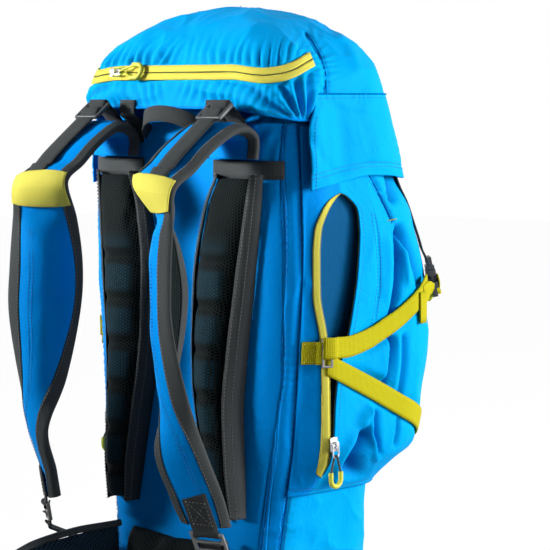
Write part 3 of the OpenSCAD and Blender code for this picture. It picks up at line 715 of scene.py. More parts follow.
class Effects:
    """Shader groups that several finishes share, each built once."""

    FLOAT, VECTOR = "NodeSocketFloat", "NodeSocketVector"

    def __init__(self) -> None:
        """Build the groups."""
        self.weave = self._weave()
        self.ribs = self._ribs()
        self.holes = self._holes()
        self.mottle = self._mottle()

    def _weave(self) -> bpy.types.NodeTree:
        """Plain weave: threads over and under by turns."""
        tree, w = effect("PlainWeave", [("Place", self.VECTOR, None), ("Pitch", self.FLOAT, 0.001)],
                         [("Height", self.FLOAT)])
        i, o = w.add("NodeGroupInput"), w.add("NodeGroupOutput")
        sep = w.add("ShaderNodeSeparateXYZ")
        w.feed(sep.inputs[0], i.outputs[0])
        x = w.math("DIVIDE", sep.outputs[0], i.outputs[1])
        y = w.math("DIVIDE", sep.outputs[1], i.outputs[1])
        sx = w.math("SINE", w.math("MULTIPLY", x, math.pi))
        sy = w.math("SINE", w.math("MULTIPLY", y, math.pi))
        over = w.math("MULTIPLY", sx, sy)
        thread = w.math("ABSOLUTE", w.math("ADD", w.math("ABSOLUTE", sx), w.math("MULTIPLY", over, 0.5)))
        w.feed(o.inputs[0], thread)
        return tree

    def _ribs(self) -> bpy.types.NodeTree:
        """Ribs across a tape, with a bound edge."""
        tree, w = effect("TapeRibs", [("Place", self.VECTOR, None), ("Pitch", self.FLOAT, 0.0016),
                                      ("Half Width", self.FLOAT, 0.01)],
                         [("Height", self.FLOAT), ("Edge", self.FLOAT)])
        i, o = w.add("NodeGroupInput"), w.add("NodeGroupOutput")
        sep = w.add("ShaderNodeSeparateXYZ")
        w.feed(sep.inputs[0], i.outputs[0])
        run = w.math("SINE", w.math("DIVIDE", w.math("MULTIPLY", sep.outputs[0], 2 * math.pi), i.outputs[1]))
        cord = w.math("SINE", w.math("DIVIDE", w.math("MULTIPLY", sep.outputs[1], 2 * math.pi), i.outputs[1]))
        w.feed(o.inputs[0], w.math("ADD", w.math("MULTIPLY", run, 0.7), w.math("MULTIPLY", cord, 0.3)))
        away = w.math("DIVIDE", w.math("ABSOLUTE", sep.outputs[1]), i.outputs[2])
        w.feed(o.inputs[1], w.math("GREATER_THAN", away, 0.86))
        return tree

    def _holes(self) -> bpy.types.NodeTree:
        """Open net of a spacer mesh."""
        tree, w = effect("NetHoles", [("Place", self.VECTOR, None), ("Pitch", self.FLOAT, 0.003)],
                         [("Hole", self.FLOAT)])
        i, o = w.add("NodeGroupInput"), w.add("NodeGroupOutput")
        sep = w.add("ShaderNodeSeparateXYZ")
        w.feed(sep.inputs[0], i.outputs[0])
        waves = []
        for angle in (0, 60, 120):
            c, s = math.cos(math.radians(angle)), math.sin(math.radians(angle))
            line = w.math("ADD", w.math("MULTIPLY", sep.outputs[0], c), w.math("MULTIPLY", sep.outputs[1], s))
            turn = w.math("MULTIPLY", w.math("DIVIDE", line, i.outputs[1]), 2 * math.pi / 0.866)
            waves.append(w.math("COSINE", turn))
        total = w.math("ADD", w.math("ADD", waves[0], waves[1]), waves[2])
        ramp = w.add("ShaderNodeMapRange", interpolation_type="SMOOTHSTEP")
        w.feed(ramp.inputs[0], total)
        ramp.inputs[1].default_value, ramp.inputs[2].default_value = -0.5, 0.9
        w.feed(o.inputs[0], ramp.outputs[0])
        return tree

    def _mottle(self) -> bpy.types.NodeTree:
        """Uneven dye and a soft crinkle."""
        tree, w = effect("Mottle", [("Place", self.VECTOR, None), ("Scale", self.FLOAT, 40.0)],
                         [("Tone", self.FLOAT), ("Crinkle", self.FLOAT)])
        i, o = w.add("NodeGroupInput"), w.add("NodeGroupOutput")
        tone = w.add("ShaderNodeTexNoise")
        w.feed(tone.inputs["Vector"], i.outputs[0])
        w.feed(tone.inputs["Scale"], w.math("MULTIPLY", i.outputs[1], 0.3))
        tone.inputs["Detail"].default_value = 4
        fold = w.add("ShaderNodeTexNoise")
        w.feed(fold.inputs["Vector"], i.outputs[0])
        w.feed(fold.inputs["Scale"], i.outputs[1])
        fold.inputs["Detail"].default_value = 3
        fold.inputs["Distortion"].default_value = 0.6
        w.feed(o.inputs[0], tone.outputs[0])
        w.feed(o.inputs[1], w.math("ABSOLUTE", w.math("SUBTRACT", fold.outputs[0], 0.5)))
        return tree


class Coat:
    """Material under way: its shader, wiring and mottle."""

    def __init__(self, name: str, fx: Effects, grain: float) -> None:
        """Start a material whose colour and relief are mottled.

        Args:
            name: material name.
            fx: shared shader groups.
            grain: scale of the mottle.
        """
        self.mat = bpy.data.materials.new(name)
        self.mat.use_nodes = True
        self.w = Wiring(self.mat.node_tree)
        self.bsdf = self.mat.node_tree.nodes["Principled BSDF"]
        self.place = self.w.add("ShaderNodeTexCoord")
        self.mottle = self.w.add("ShaderNodeGroup", node_tree=fx.mottle)
        self.w.feed(self.mottle.inputs[0], self.place.outputs["Object"])
        self.mottle.inputs[1].default_value = grain

    def bump(self, height: bpy.types.NodeSocket, strength: float, depth_mm: float) -> None:
        """Let a height act as fine relief."""
        node = self.w.add("ShaderNodeBump")
        node.inputs["Strength"].default_value = strength
        node.inputs["Distance"].default_value = depth_mm * MM
        self.w.feed(node.inputs["Height"], height)
        self.w.feed(self.bsdf.inputs["Normal"], node.outputs[0])

    def marked(self, plain: object, foam: tuple[float, float, float] | None) -> object:
        """Turn a colour to a second colour where a point attribute marks it: foam seen through a net, and painted shade
        in the folds of cloth.
        """
        if foam is None:
            return plain
        mark = self.w.add("ShaderNodeAttribute", attribute_name="Foam")
        return self.w.mix(mark.outputs["Fac"], plain, (*foam, 1))

    def set(self, **values: object) -> None:
        """Give inputs of the shader plain values; underscores stand for spaces."""
        for key, value in values.items():
            self.bsdf.inputs[key.replace("_", " ")].default_value = value


class Weaving(Enum):
    """How a textile is made."""

    CLOTH = "cloth"
    TAPE = "tape"
    NET = "net"


@dataclass(frozen=True)
class Textile:
    """Finish of cloth, webbing or spacer mesh."""

    name: str
    colour: tuple[float, float, float]
    dark: tuple[float, float, float]
    kind: Weaving = Weaving.CLOTH
    pitch_mm: float = 0.8
    half_mm: float = 10.0
    rough: float = 0.62
    sheen: float = 0.015
    specular: float = 0.06
    bump_mm: float = 0.3
    # second colour shown by a point attribute: foam seen through a net, and painted shade in the folds of cloth
    foam: tuple[float, float, float] | None = None

    def build(self, fx: Effects) -> bpy.types.Material:
        """Make the material.

        Args:
            fx: shared shader groups.
        Returns:
            The material.
        """
        coat = Coat(self.name, fx, 55.0)
        w, mottle = coat.w, coat.mottle
        pattern = w.add("ShaderNodeGroup", node_tree={Weaving.CLOTH: fx.weave, Weaving.TAPE: fx.ribs,
                                                      Weaving.NET: fx.holes}[self.kind])
        w.feed(pattern.inputs[0], coat.place.outputs["UV"])
        pattern.inputs[1].default_value = self.pitch_mm * MM
        light, dark = (*self.colour, 1), (*self.dark, 1)
        if self.kind is Weaving.CLOTH:
            share = w.math("ADD", w.math("MULTIPLY", pattern.outputs[0], 0.18),
                           w.math("MULTIPLY", mottle.outputs[0], 0.25))
            height = w.math("ADD", w.math("MULTIPLY", pattern.outputs[0], 0.1),
                            w.math("MULTIPLY", mottle.outputs[1], 5.0))
            # cloth turns to its second colour in marked folds: painted shade
            colour = coat.marked(w.mix(share, light, dark), self.foam)
        elif self.kind is Weaving.TAPE:
            pattern.inputs[2].default_value = self.half_mm * MM
            height = w.math("ADD", pattern.outputs[0], w.math("MULTIPLY", mottle.outputs[1], 0.8))
            share = w.math("ADD", w.math("MULTIPLY", w.math("ADD", pattern.outputs[0], 1), 0.16),
                           w.math("ADD", w.math("MULTIPLY", mottle.outputs[0], 0.2),
                                  w.math("MULTIPLY", pattern.outputs[1], 0.18)))
            colour = w.mix(share, light, dark)
        else:
            height = w.math("SUBTRACT", 1.0, pattern.outputs[0])
            colour = w.mix(pattern.outputs[0], light, coat.marked(dark, self.foam))
        w.feed(coat.bsdf.inputs["Base Color"], colour)
        coat.bump(height, 0.8, self.bump_mm)
        coat.set(Roughness=self.rough, Specular_IOR_Level=self.specular, Sheen_Weight=self.sheen, Sheen_Roughness=0.5,
                 Sheen_Tint=light, Specular_Tint=(*(min(1.0, 0.03 + 1.1 * c) for c in self.colour), 1))
        return coat.mat


@dataclass(frozen=True)
class Hard:
    """Finish of plastic or metal."""

    name: str
    colour: tuple[float, float, float]
    worn: tuple[float, float, float]
    metal: float = 0.0
    rough: float = 0.45
    grain: float = 900.0
    bump_mm: float = 0.03

    def build(self, fx: Effects) -> bpy.types.Material:
        """Make the material.

        Args:
            fx: shared shader groups.
        Returns:
            The material.
        """
        coat = Coat(self.name, fx, self.grain)
        w, bsdf, tone = coat.w, coat.bsdf, coat.mottle.outputs[0]
        w.feed(bsdf.inputs["Base Color"], w.mix(tone, (*self.colour, 1), (*self.worn, 1)))
        w.feed(bsdf.inputs["Roughness"], w.math("ADD", w.math("MULTIPLY", tone, 0.2), self.rough - 0.1))
        coat.bump(coat.mottle.outputs[1], 0.5, self.bump_mm)
        coat.set(Metallic=self.metal)
        return coat.mat


class Palette:
    """All finishes of the pack."""

    def __init__(self) -> None:
        """Build every material once."""
        fx = Effects()
        # two copies of one azure fabric: azure and deep for the parts in shade, and a lighter, greener copy that paints
        # light on the lit lid, skirt, pocket and front of the sides
        azure, deep, painted_lit_azure, painted_lit_deep = (0.0, 0.29, 0.86), (0.0, 0.19, 0.64), (0.0, 0.38, 0.86), (0.0, 0.27, 0.68)
        lime, olive = (0.5, 0.45, 0.015), (0.35, 0.31, 0.008)
        self.cloth = Textile("azure_cloth_painted_shade", azure, deep).build(fx)
        # its second colour is painted shade in the folds of the lid and pocket
        self.bright = Textile("azure_cloth_painted_light", painted_lit_azure, painted_lit_deep, foam=(0.0, 0.12, 0.42)).build(fx)
        self.inside = Textile("coated_inside", (0.004, 0.09, 0.24), (0.002, 0.05, 0.14), rough=0.6).build(fx)
        self.lining = Textile("grey_lining", (0.1, 0.1, 0.11), (0.05, 0.05, 0.055)).build(fx)
        self.net = Textile("black_net", (0.014, 0.019, 0.02), (0.0015, 0.003, 0.004), Weaving.NET, 3.1,
                           bump_mm=0.6, foam=(0.008, 0.05, 0.085)).build(fx)
        self.blue_net = Textile("blue_net", (0.03, 0.06, 0.09), (0.003, 0.006, 0.01), Weaving.NET, 3.1,
                                bump_mm=0.6).build(fx)
        self.binding = Textile("grey_binding", (0.085, 0.093, 0.098), (0.032, 0.036, 0.038), Weaving.TAPE, 1.3, 6.0,
                               bump_mm=0.2).build(fx)
        self.grey = Textile("grey_tape", (0.062, 0.068, 0.072), (0.02, 0.022, 0.023), Weaving.TAPE, 1.7, 12.0,
                            bump_mm=0.25).build(fx)
        self.lime = Textile("lime_tape", lime, olive, Weaving.TAPE, 1.9, 10.5, bump_mm=0.25).build(fx)
        self.zip = Textile("zip_tape", (0.8, 0.72, 0.13), (0.58, 0.52, 0.06), Weaving.TAPE, 0.9, 6.0,
                           bump_mm=0.12).build(fx)
        self.pale_lime = Textile("pale_lime_tape", (0.76, 0.69, 0.13), (0.6, 0.54, 0.08), Weaving.TAPE, 1.9, 20.0,
                                 bump_mm=0.2).build(fx)
        # seam tubes take this darker blue as painted shade along the seam grooves
        self.seam = Textile("seam_painted_shade", (0.0, 0.16, 0.46), (0.0, 0.12, 0.38), specular=0.0).build(fx)
        self.coil = Hard("zip_coil", (0.16, 0.15, 0.03), (0.09, 0.085, 0.02), rough=0.4).build(fx)
        self.thread = Hard("blue_thread", (0.0, 0.13, 0.4), (0.0, 0.09, 0.3), rough=0.6).build(fx)
        self.grey_thread = Hard("grey_thread", (0.22, 0.23, 0.22), (0.15, 0.15, 0.15), rough=0.6).build(fx)
        self.lime_thread = Hard("lime_thread", (0.7, 0.7, 0.12), (0.5, 0.5, 0.08), rough=0.6).build(fx)
        self.plastic = Hard("dark_plastic", (0.018, 0.022, 0.032), (0.03, 0.034, 0.042)).build(fx)
        self.pale_plastic = Hard("grey_plastic", (0.16, 0.165, 0.165), (0.2, 0.2, 0.2)).build(fx)
        self.steel = Hard("plated_steel", (0.62, 0.63, 0.65), (0.5, 0.5, 0.52), metal=1.0, rough=0.28).build(fx)
        self.dull_steel = Hard("dull_steel", (0.2, 0.2, 0.2), (0.14, 0.14, 0.15), metal=1.0, rough=0.4).build(fx)
        self.cord = Hard("dark_cord", (0.03, 0.04, 0.045), (0.015, 0.02, 0.02), rough=0.7, bump_mm=0.2).build(fx)
        self.grip = Hard("lime_grip", (0.64, 0.63, 0.05), (0.55, 0.54, 0.04), rough=0.5).build(fx)


# Repeats along seams, made with geometry nodes


class Repeat(Enum):
    """What is set along a seam line; the value is (length, width, pitch) in millimetres."""

    STITCH = (2.6, 0.55, 3.6)
    TOOTH = (0.9, 1.5, 1.7)
    BARTACK = (0.5, 1.3, 0.8)


class SeamLines:
    """Collects seam lines and sets stitches or teeth along them."""

    def __init__(self) -> None:
        """Build the node tree."""
        self.tree = bpy.data.node_groups.new("AlongSeam", "GeometryNodeTree")
        sockets = self.tree.interface
        sockets.new_socket("Geometry", in_out="INPUT", socket_type="NodeSocketGeometry")
        self.keys = {label: sockets.new_socket(label, in_out="INPUT", socket_type=kind).identifier
                     for label, kind in (("Length", "NodeSocketFloat"), ("Width", "NodeSocketFloat"),
                                         ("Pitch", "NodeSocketFloat"), ("Finish", "NodeSocketMaterial"))}
        sockets.new_socket("Geometry", in_out="OUTPUT", socket_type="NodeSocketGeometry")
        w = Wiring(self.tree)
        gi, go = w.add("NodeGroupInput"), w.add("NodeGroupOutput")
        points = w.add("GeometryNodeCurveToPoints", mode="LENGTH")
        w.feed(points.inputs["Curve"], gi.outputs[0])
        w.feed(points.inputs["Length"], gi.outputs["Pitch"])
        bead = w.add("GeometryNodeMeshUVSphere")
        bead.inputs["Segments"].default_value = 6
        bead.inputs["Rings"].default_value = 4
        bead.inputs["Radius"].default_value = 0.5
        size = w.add("ShaderNodeCombineXYZ")
        for k, label in enumerate(("Width", "Width", "Length")):
            w.feed(size.inputs[k], gi.outputs[label])
        place = w.add("GeometryNodeInstanceOnPoints")
        w.feed(place.inputs["Points"], points.outputs["Points"])
        w.feed(place.inputs["Instance"], bead.outputs["Mesh"])
        w.feed(place.inputs["Rotation"], points.outputs["Rotation"])
        w.feed(place.inputs["Scale"], size.outputs[0])
        real = w.add("GeometryNodeRealizeInstances")
        w.feed(real.inputs[0], place.outputs[0])
        coat = w.add("GeometryNodeSetMaterial")
        w.feed(coat.inputs["Geometry"], real.outputs[0])
        w.feed(coat.inputs["Material"], gi.outputs["Finish"])
        w.feed(go.inputs[0], coat.outputs[0])

    def make(self, name: str, lines: Sequence[Array], kind: Repeat, mat: bpy.types.Material) -> bpy.types.Object:
        """Set one kind of repeat along lines.

        Args:
            name: piece name.
            lines: polylines in millimetres.
            kind: what is repeated.
            mat: finish.
        Returns:
            The new object as a plain mesh.
        """
        cu = bpy.data.curves.new(name, "CURVE")
        cu.dimensions = "3D"
        for line in lines:
            s = cu.splines.new("POLY")
            s.points.add(len(line) - 1)
            co = np.concatenate([line * MM, np.ones((len(line), 1))], 1)
            s.points.foreach_set("co", co.astype(np.float32).reshape(-1))
        source = linked(name + "_line", cu)
        mod = source.modifiers.new("AlongSeam", "NODES")
        mod.node_group = self.tree
        length, width, pitch = kind.value
        for label, value in (("Length", length * MM), ("Width", width * MM), ("Pitch", pitch * MM), ("Finish", mat)):
            mod[self.keys[label]] = value
        me = baked(source)
        me.name = name
        smooth_faces(me)
        ob = linked(name, me)
        bpy.data.objects.remove(source)
        return ob


@dataclass
class Kit:
    """What every sub-assembly works with."""

    finish: Palette
    seams: SeamLines
    nodes: dict[str, bpy.types.Object]

    def place(self, ob: bpy.types.Object, body: str, slot: Slot, *stands_for: str) -> bpy.types.Object:
        """Let a piece ride on a body and stand for CAD nodes.

        Args:
            ob: the piece.
            body: name of the body.
            slot: not used.
            stands_for: nodes that the piece replaces.
        Returns:
            The piece.
        """
        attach(ob, body)
        if stands_for:
            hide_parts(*stands_for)
        LOG.info("%s on %s, %d faces", ob.name, body, len(ob.data.polygons))
        return ob

    def span(self, ob: bpy.types.Object, bodies: tuple[str, str], ends: tuple[Array, Array], slot: Slot,
             *stands_for: str) -> None:
        """Bake a soft piece's place into its mesh and let it stand for CAD nodes; it rides on no body.

        Args:
            ob: the piece.
            bodies: names of the two bodies.
            ends: where it leaves the first body and where it is held by the second, in millimetres.
            slot: not used.
            stands_for: nodes that the piece replaces.
        """
        start, end = (tuple(map(float, point * MM)) for point in ends)
        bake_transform(ob)
        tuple(start)
        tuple(end)
        if stands_for:
            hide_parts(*stands_for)
        LOG.info("%s from %s to %s, %d faces", ob.name, *bodies, len(ob.data.polygons))

    def sew(self, name: str, lines: Sequence[Array], mat: bpy.types.Material, slot: Slot, body: str = "pack",
            kind: Repeat = Repeat.STITCH) -> None:
        """Set stitches or another repeat along lines of a body.

        Args:
            name: piece name.
            lines: polylines in millimetres.
            mat: finish.
            slot: material slot of the record.
            body: name of the body.
            kind: what is repeated.
        """
        self.place(self.seams.make(name, lines, kind, mat), body, slot)

    def dress(self, node: str, mat: bpy.types.Material) -> None:
        """Give a CAD node a finish and keep its shape."""
        self.nodes[node].data.materials.clear()
        self.nodes[node].data.materials.append(mat)

    def soften(self, node: str, body: str, slot: Slot, mat: bpy.types.Material,
               round_mm: float) -> bpy.types.Object:
        """Replace a hard CAD node by a copy with rounded edges.

        Args:
            node: CAD node.
            body: its body.
            slot: material slot.
            mat: finish.
            round_mm: radius of the edges.
        Returns:
            The piece.
        """
        me = self.nodes[node].data.copy()
        me.materials.clear()
        me.materials.append(mat)
        ob = linked(node + "_part", me)
        bm = bmesh.new()
        bm.from_mesh(me)
        bmesh.ops.remove_doubles(bm, verts=bm.verts, dist=2e-5)
        bmesh.ops.dissolve_limit(bm, angle_limit=math.radians(2), verts=bm.verts, edges=bm.edges)
        bm.to_mesh(me)
        bm.free()
        mod = ob.modifiers.new("Edges", "BEVEL")
        mod.width, mod.segments, mod.limit_method = round_mm * MM, 3, "ANGLE"
        mod.angle_limit = math.radians(40)
        mod.use_clamp_overlap = True
        bake(ob)
        smooth_faces(ob.data)
        ob.data.set_sharp_from_angle(angle=math.radians(50))
        return self.place(ob, body, slot, node)


# Sub-assemblies


@dataclass
class BagBody:
    """Main bag: back, side and front cloth, base and throat."""

    kit: Kit
    rows: int = 190
    corner_u: float = 1.5
    throat_pleats: int = 46
    seam_rear: Pairs = ((286, 112), (280, 160), (284, 250), (282, 380), (268, 480), (258, 560), (250, 610))
    seam_side: Pairs = ((298, 121), (304, 191), (307, 239), (304, 316), (302, 363), (293, 446), (288, 497),
                        (281, 548), (276, 600))

    def panel(self, u0: float, u1: float, cols: int) -> Patch:
        """Wall grid between two places, with its seams and loose folds.

        Args:
            u0: first place.
            u1: last place.
            cols: number of columns.
        Returns:
            The grid.
        """
        z = np.concatenate(([0.0, 0.6, 1.6, 3.0], np.linspace(6, RIM_Z, self.rows)))
        uu, zz = np.meshgrid(np.linspace(u0, u1, cols) % 10, z)
        p = Patch(bag_pt(uu, zz, -4.0 * (1 - smooth(zz / 5.0)) ** 2))
        p.crease([Crease(self.seam_rear, 2.2, -1.5, 0, pucker=0.7), Crease(self.seam_side, 2.2, -1.8, 0, pucker=0.9),
                  Crease(((292, 130), (294, 300), (285, 420), (274, 540)), 6.0, 1.5),
                  Crease(((284, 118), (262, 132), (250, 150)), 4.0, -1.4),
                  Crease(((286, 118), (270, 150), (262, 190)), 5.0, -1.4)])
        flat_back = smooth((p.pts[..., 1] + 70) / 12)
        fade = smooth((zz - 8) / 40) * (0.25 + 0.75 * flat_back)
        p.push(fade * crumple(p.pts, (60, 60, 95), 2.0, 2.0))
        p.push(smooth((150 - zz) / 50) * flat_back * smooth(zz / 30) * crumple(p.pts, (38, 38, 30), 2.2, 5.0))
        return p

    def build(self) -> None:
        """Make the walls, the base and the throat."""
        f, kit, c = self.kit.finish, self.kit, self.corner_u
        back = self.panel(10 - c, 10 + c, 110)
        kit.place(back.shell("bag_back", f.cloth, 1.4, f.inside), "pack", Slot.SHELL, "back_panel")
        side = self.panel(c, 5, 190)
        # outer faces behind the front pocket take the dark inner finish: painted shade inside the pocket
        pocket = (side.pts[..., 2] > 140) & (side.pts[..., 2] < 495) & (np.linspace(c, 5, 190) > 1.86)
        left = side.shell("bag_side_left", f.cloth, 1.4, f.inside, pocket)
        right = side.mirrored().shell("bag_side_right", f.cloth, 1.4, f.inside, pocket[:, ::-1])
        # lit copy of the cloth in front of the side seam: painted light
        for ob in (left, right):
            self.paint_lit_cloth_in_front(ob)
        kit.place(left, "pack", Slot.SHELL, "side_wall_left", "front_wall")
        kit.place(right, "pack", Slot.SHELL, "side_wall_right")
        u = np.linspace(0, 10, 236, endpoint=False)
        rim = bag_pt(u, np.zeros(236), -4.0)
        mid = np.array([0.0, 8.0, 0.0])
        base = Patch((mid + (rim - mid) * np.linspace(0.02, 1, 22)[:, None, None])[::-1], loop=True)
        base.pts[..., 2] += 0.02
        kit.place(base.shell("bag_base", f.cloth, 2.0, f.inside), "pack", Slot.SHELL, "base_panel")
        lines, tubes = [], []
        for path, sides in ((self.seam_rear, (3.0,)), (self.seam_side, (-3.2, 3.2))):
            seam = trace(lambda a, b: bag_pt(a, b, -0.9), path, 1.0, 3.0, 150)
            # seam tubes in darker blue: painted shade along the seams
            tubes += [tube("seam", q, 0.7, f.seam, 6) for q in (seam, flip(seam))]
            for reach in sides:
                line = trace(lambda a, b: bag_pt(a, b, 0.3), [(x + reach, y) for x, y in path], 1.0, 3.0, 150)
                lines += [line, flip(line)]
        kit.place(joined("bag_seams", tubes), "pack", Slot.SHELL)
        kit.sew("bag_stitches", lines, f.thread, Slot.SHELL)
        self.throat()

    def paint_lit_cloth_in_front(self, ob: bpy.types.Object) -> None:
        """Give the outer faces in front of the side seam the lighter, greener copy of the cloth: painted light on the
        lit front.
        """
        me = ob.data
        me.materials.append(self.kit.finish.bright)
        mid, index = np.zeros(len(me.polygons) * 3), np.zeros(len(me.polygons), np.int32)
        me.polygons.foreach_get("center", mid)
        me.polygons.foreach_get("material_index", index)
        px, py = plane_xy(mid.reshape(-1, 3) / MM)
        x, y = np.array(self.seam_side).T
        index[(index == 0) & (px > np.interp(py, y, x))] = len(me.materials) - 1
        me.polygons.foreach_set("material_index", index)

    def throat(self) -> None:
        """Gathered throat above the rim."""
        f = self.kit.finish
        drawn = Profile([(0, 0.7), (0.33, 9), (1, 16)])
        uu, kk = np.meshgrid(np.linspace(0, 10, 460, endpoint=False), np.linspace(0, 1, 14))
        d = drawn(kk)
        x, y = outline(uu, 144 - d, BACK_Y + d, FRONT_Y - d, R_BACK - d, R_FRONT - d)
        p = Patch(stack(x, y, RIM_Z - 0.5 + 21 * kk), loop=True)
        p.push(-1.0 + (0.3 + 1.1 * kk) * np.sin(uu * self.throat_pleats * 0.6283 + 2 * np.sin(uu * 3)))
        throat = p.shell("throat", f.cloth, 0.9)
        self.kit.place(throat, "pack", Slot.LINING, "collar")
        self.kit.dress("cord_eyelet", f.plastic)


@dataclass
class Hood:
    """Lid: dome with its zip, floor, skirt and the tabs that hold it."""

    kit: Kit
    zip_b: float = math.degrees(math.asin(29 / LID_RISE))
    tape_mm: float = 7.0
    lift: Profile = Profile([(0, 0), (.8, 0), (1.1, -1.6), (1.3, -2.3), (1.5, -1.5), (1.7, .8), (1.9, 4.3),
                             (2.05, 6.8), (2.2, 8.6), (5, 9)])
    dip: Profile = Profile([(0, 5), (.6, 4), (1.1, 1), (1.5, -4), (1.8, -7), (2, -7), (2.4, -3), (3, 0), (5, 0)])
    seam_corner: Pairs = ((303, 30), (312, 42), (320, 56), (325, 72), (326, 96))
    gather_at: tuple[float, float] = (304.0, 126.0)
    skirt_folds: tuple[Crease, ...] = (
        Crease(((318, 100), (316, 140), (312, 188)), 6, 2.4),
        Crease(((336, 98), (342, 140), (345, 178)), 7, -2.4),
        Crease(((360, 95), (372, 130), (380, 172)), 8, 2.2),
        Crease(((304, 130), (330, 168), (352, 178)), 5, -1.8),
        Crease(((322, 97), (345, 112), (380, 118)), 5, -1.2),
        Crease(((320, 94), (350, 92), (383, 91)), 2, -1.0, 0, pucker=0.8),
    )

    def zip_angle(self, u: Array) -> Array:
        """Rise angle of the zip at places."""
        return self.zip_b + self.lift(left_half(u))

    def dome(self) -> Patch:
        """Dome grid with gathers along its zip and painted shade in the gathers."""
        half = np.concatenate((np.linspace(0, 2.2, 122, endpoint=False), np.linspace(2.2, 5, 70)))
        u = np.concatenate((half, 10 - half[-2:0:-1]))
        b = np.concatenate((np.linspace(0, 36, 46), np.linspace(37, 89.7, 37)))
        uu, bb = np.meshgrid(u, b)
        rim = 514 + self.dip(left_half(u))
        edge = np.stack([dome_pt(u, 0.0) * [1, 1, 0] + np.outer(rim + (SEAM_Z - rim) * k, [0, 0, 1])
                         for k in np.linspace(0, 0.85, 6)])
        p = Patch(np.concatenate([edge, dome_pt(uu, bb)]), loop=True)
        near = smooth((2.3 - left_half(u)) / 0.35)
        zip_z = SEAM_Z + LID_RISE * np.sin(np.radians(self.zip_angle(u)))
        away = (p.pts[..., 2] - zip_z) / 20
        px, py = plane_xy(p.pts)
        run = px * 0.9 + 0.25 * py
        wild = lattice(p.pts / 23.0, 4.0)
        upright = np.sin(run / 1.25 + 2.6 * wild) * (0.55 + 0.45 * lattice(p.pts / 27.0, 8.0))
        angle = np.arctan2(self.gather_at[1] - py, self.gather_at[0] - px)
        far = np.hypot(self.gather_at[1] - py, self.gather_at[0] - px)
        spread = np.sin(angle * 17 + 2.2 * lattice(p.pts / 34.0, 14.0)) * smooth(far / 14) * np.exp(-(far / 85) ** 2)
        above = smooth((away - 0.36) / 0.2) * np.exp(-np.maximum(away - 0.5, 0) ** 2 / 0.7)
        below = smooth((-away - 0.36) / 0.2)
        roll = np.exp(-(away * 1.55) ** 2)
        crisp = smooth((p.pts[..., 2] - 508) / 8)
        spread = np.sign(spread) * np.abs(spread) ** 0.8
        gathers = near * (2.2 * above * upright + crisp * below * (3.6 * spread + 1.2 * upright))
        p.push(gathers - near * 2.6 * roll)
        # painted shade in the folds of the gathers
        p.painted_fold_shade = 0.6 * np.clip(-gathers / 2.4 - 0.15, 0, 1)
        p.push(smooth((p.pts[..., 2] - 520) / 12) * crumple(p.pts, (55, 55, 34), 2.6, 11.0))
        p.push(smooth((p.pts[..., 2] - 560) / 20) * crumple(p.pts, (24, 24, 60), 1.4, 17.0))
        p.crease([Crease(self.seam_corner, 2.4, -2.6, 0.05, pucker=1.2, reach=12),
                  Crease(((334, 30), (350, 52), (362, 80)), 5, 1.6),
                  Crease(((318, 96), (345, 88), (372, 90)), 6, -1.4)])
        return p

    def build(self) -> None:
        """Make every piece of the lid."""
        f, kit = self.kit.finish, self.kit
        dome = self.dome()
        # lid in the lit copy of the cloth: painted light
        top = dome.shell("lid_cloth", f.bright, 1.4, f.inside)
        kit.place(top, "lid", Slot.SHELL, "lid_dome")
        self.floor()
        self.skirt()
        self.zip()
        corner = self.corner(0.0, -1.2)
        rolls = [tube("roll", dome.pts[0][np.r_[-122:0, 0:123]] + [0, 0, 0.8], 1.3, f.cloth, 8)]
        # corner seam tubes in darker blue: painted shade along the seam
        rolls += [tube("roll", q, 0.8, f.seam, 6) for q in (corner, flip(corner))]
        kit.place(joined("lid_seams", rolls), "lid", Slot.SHELL)
        run = np.r_[-118:0, 0:119]
        lines = [dome.pts[2][run] + dome.normals()[2][run] * 0.3]
        beside = self.corner(3.2, 0.3)
        lines += [beside, flip(beside)]
        kit.sew("lid_stitches", lines, f.thread, Slot.SHELL, "lid")
        for s in Side:
            path = spline([(s.value * 62, -76.1, 484), (s.value * 62, -76.1, 498), (s.value * 62, -80.5, 507),
                           (s.value * 62, -87.9, 513), (s.value * 62, -87.1, 527)], 30)
            kit.place(webbing("lid_tab_" + s.tag, path, (1, 0, 0), 22, f.grey), "pack", Slot.GREY,
                      *s.once("lid_tabs"))

    def corner(self, shift: float, off: float) -> Array:
        """Line along the corner seam, shifted on the camera plane."""
        def form(a: Array, z: Array) -> Array:
            """Dome by height."""
            return dome_pt(a, np.degrees(np.arcsin(np.clip((z - SEAM_Z) / LID_RISE, 0, 1))), off)
        return trace(form, [(x + shift, y) for x, y in self.seam_corner], 1.6, 3.6, 50)

    def floor(self) -> None:
        """Cloth floor of the lid's own pocket, sagging a little."""
        ring = dome_pt(np.linspace(0, 10, 120, endpoint=False), 4.2, -4.6) * [1, 1, 0]
        mid = np.array([0.0, LID_MID, 0.0])
        share = np.linspace(1, 0.02, 26)
        g = mid + (ring - mid) * share[:, None, None]
        g[..., 2] = 532.6 + (crumple(g, (70, 70, 70), 1.2, 6.0) - 0.6) * (1 - share[:, None])
        cloth = Patch(g, loop=True).shell("lid_floor_cloth", self.kit.finish.inside, 1.0)
        self.kit.place(cloth, "lid", Slot.SHELL, "lid_floor")

    def skirt(self) -> None:
        """Flared skirt with a stitched hem."""
        kit, f = self.kit, self.kit.finish
        tt, vv = np.meshgrid(np.linspace(-1, 1, 250), np.linspace(0, 1, 64))
        start = 1.88 + 0.17 * smooth((vv - 0.62) / 0.38)
        p = Patch(skirt_pt(5 + (5 - start) * tt, vv))
        hang = smooth((1 - vv) / 0.9)
        p.push(hang * crumple(p.pts, (42, 42, 130), 2.8, 21.0))
        p.crease(self.skirt_folds)
        p.push(-0.9 * np.exp(-((vv * SKIRT_DROP - 12) / 2.2) ** 2))
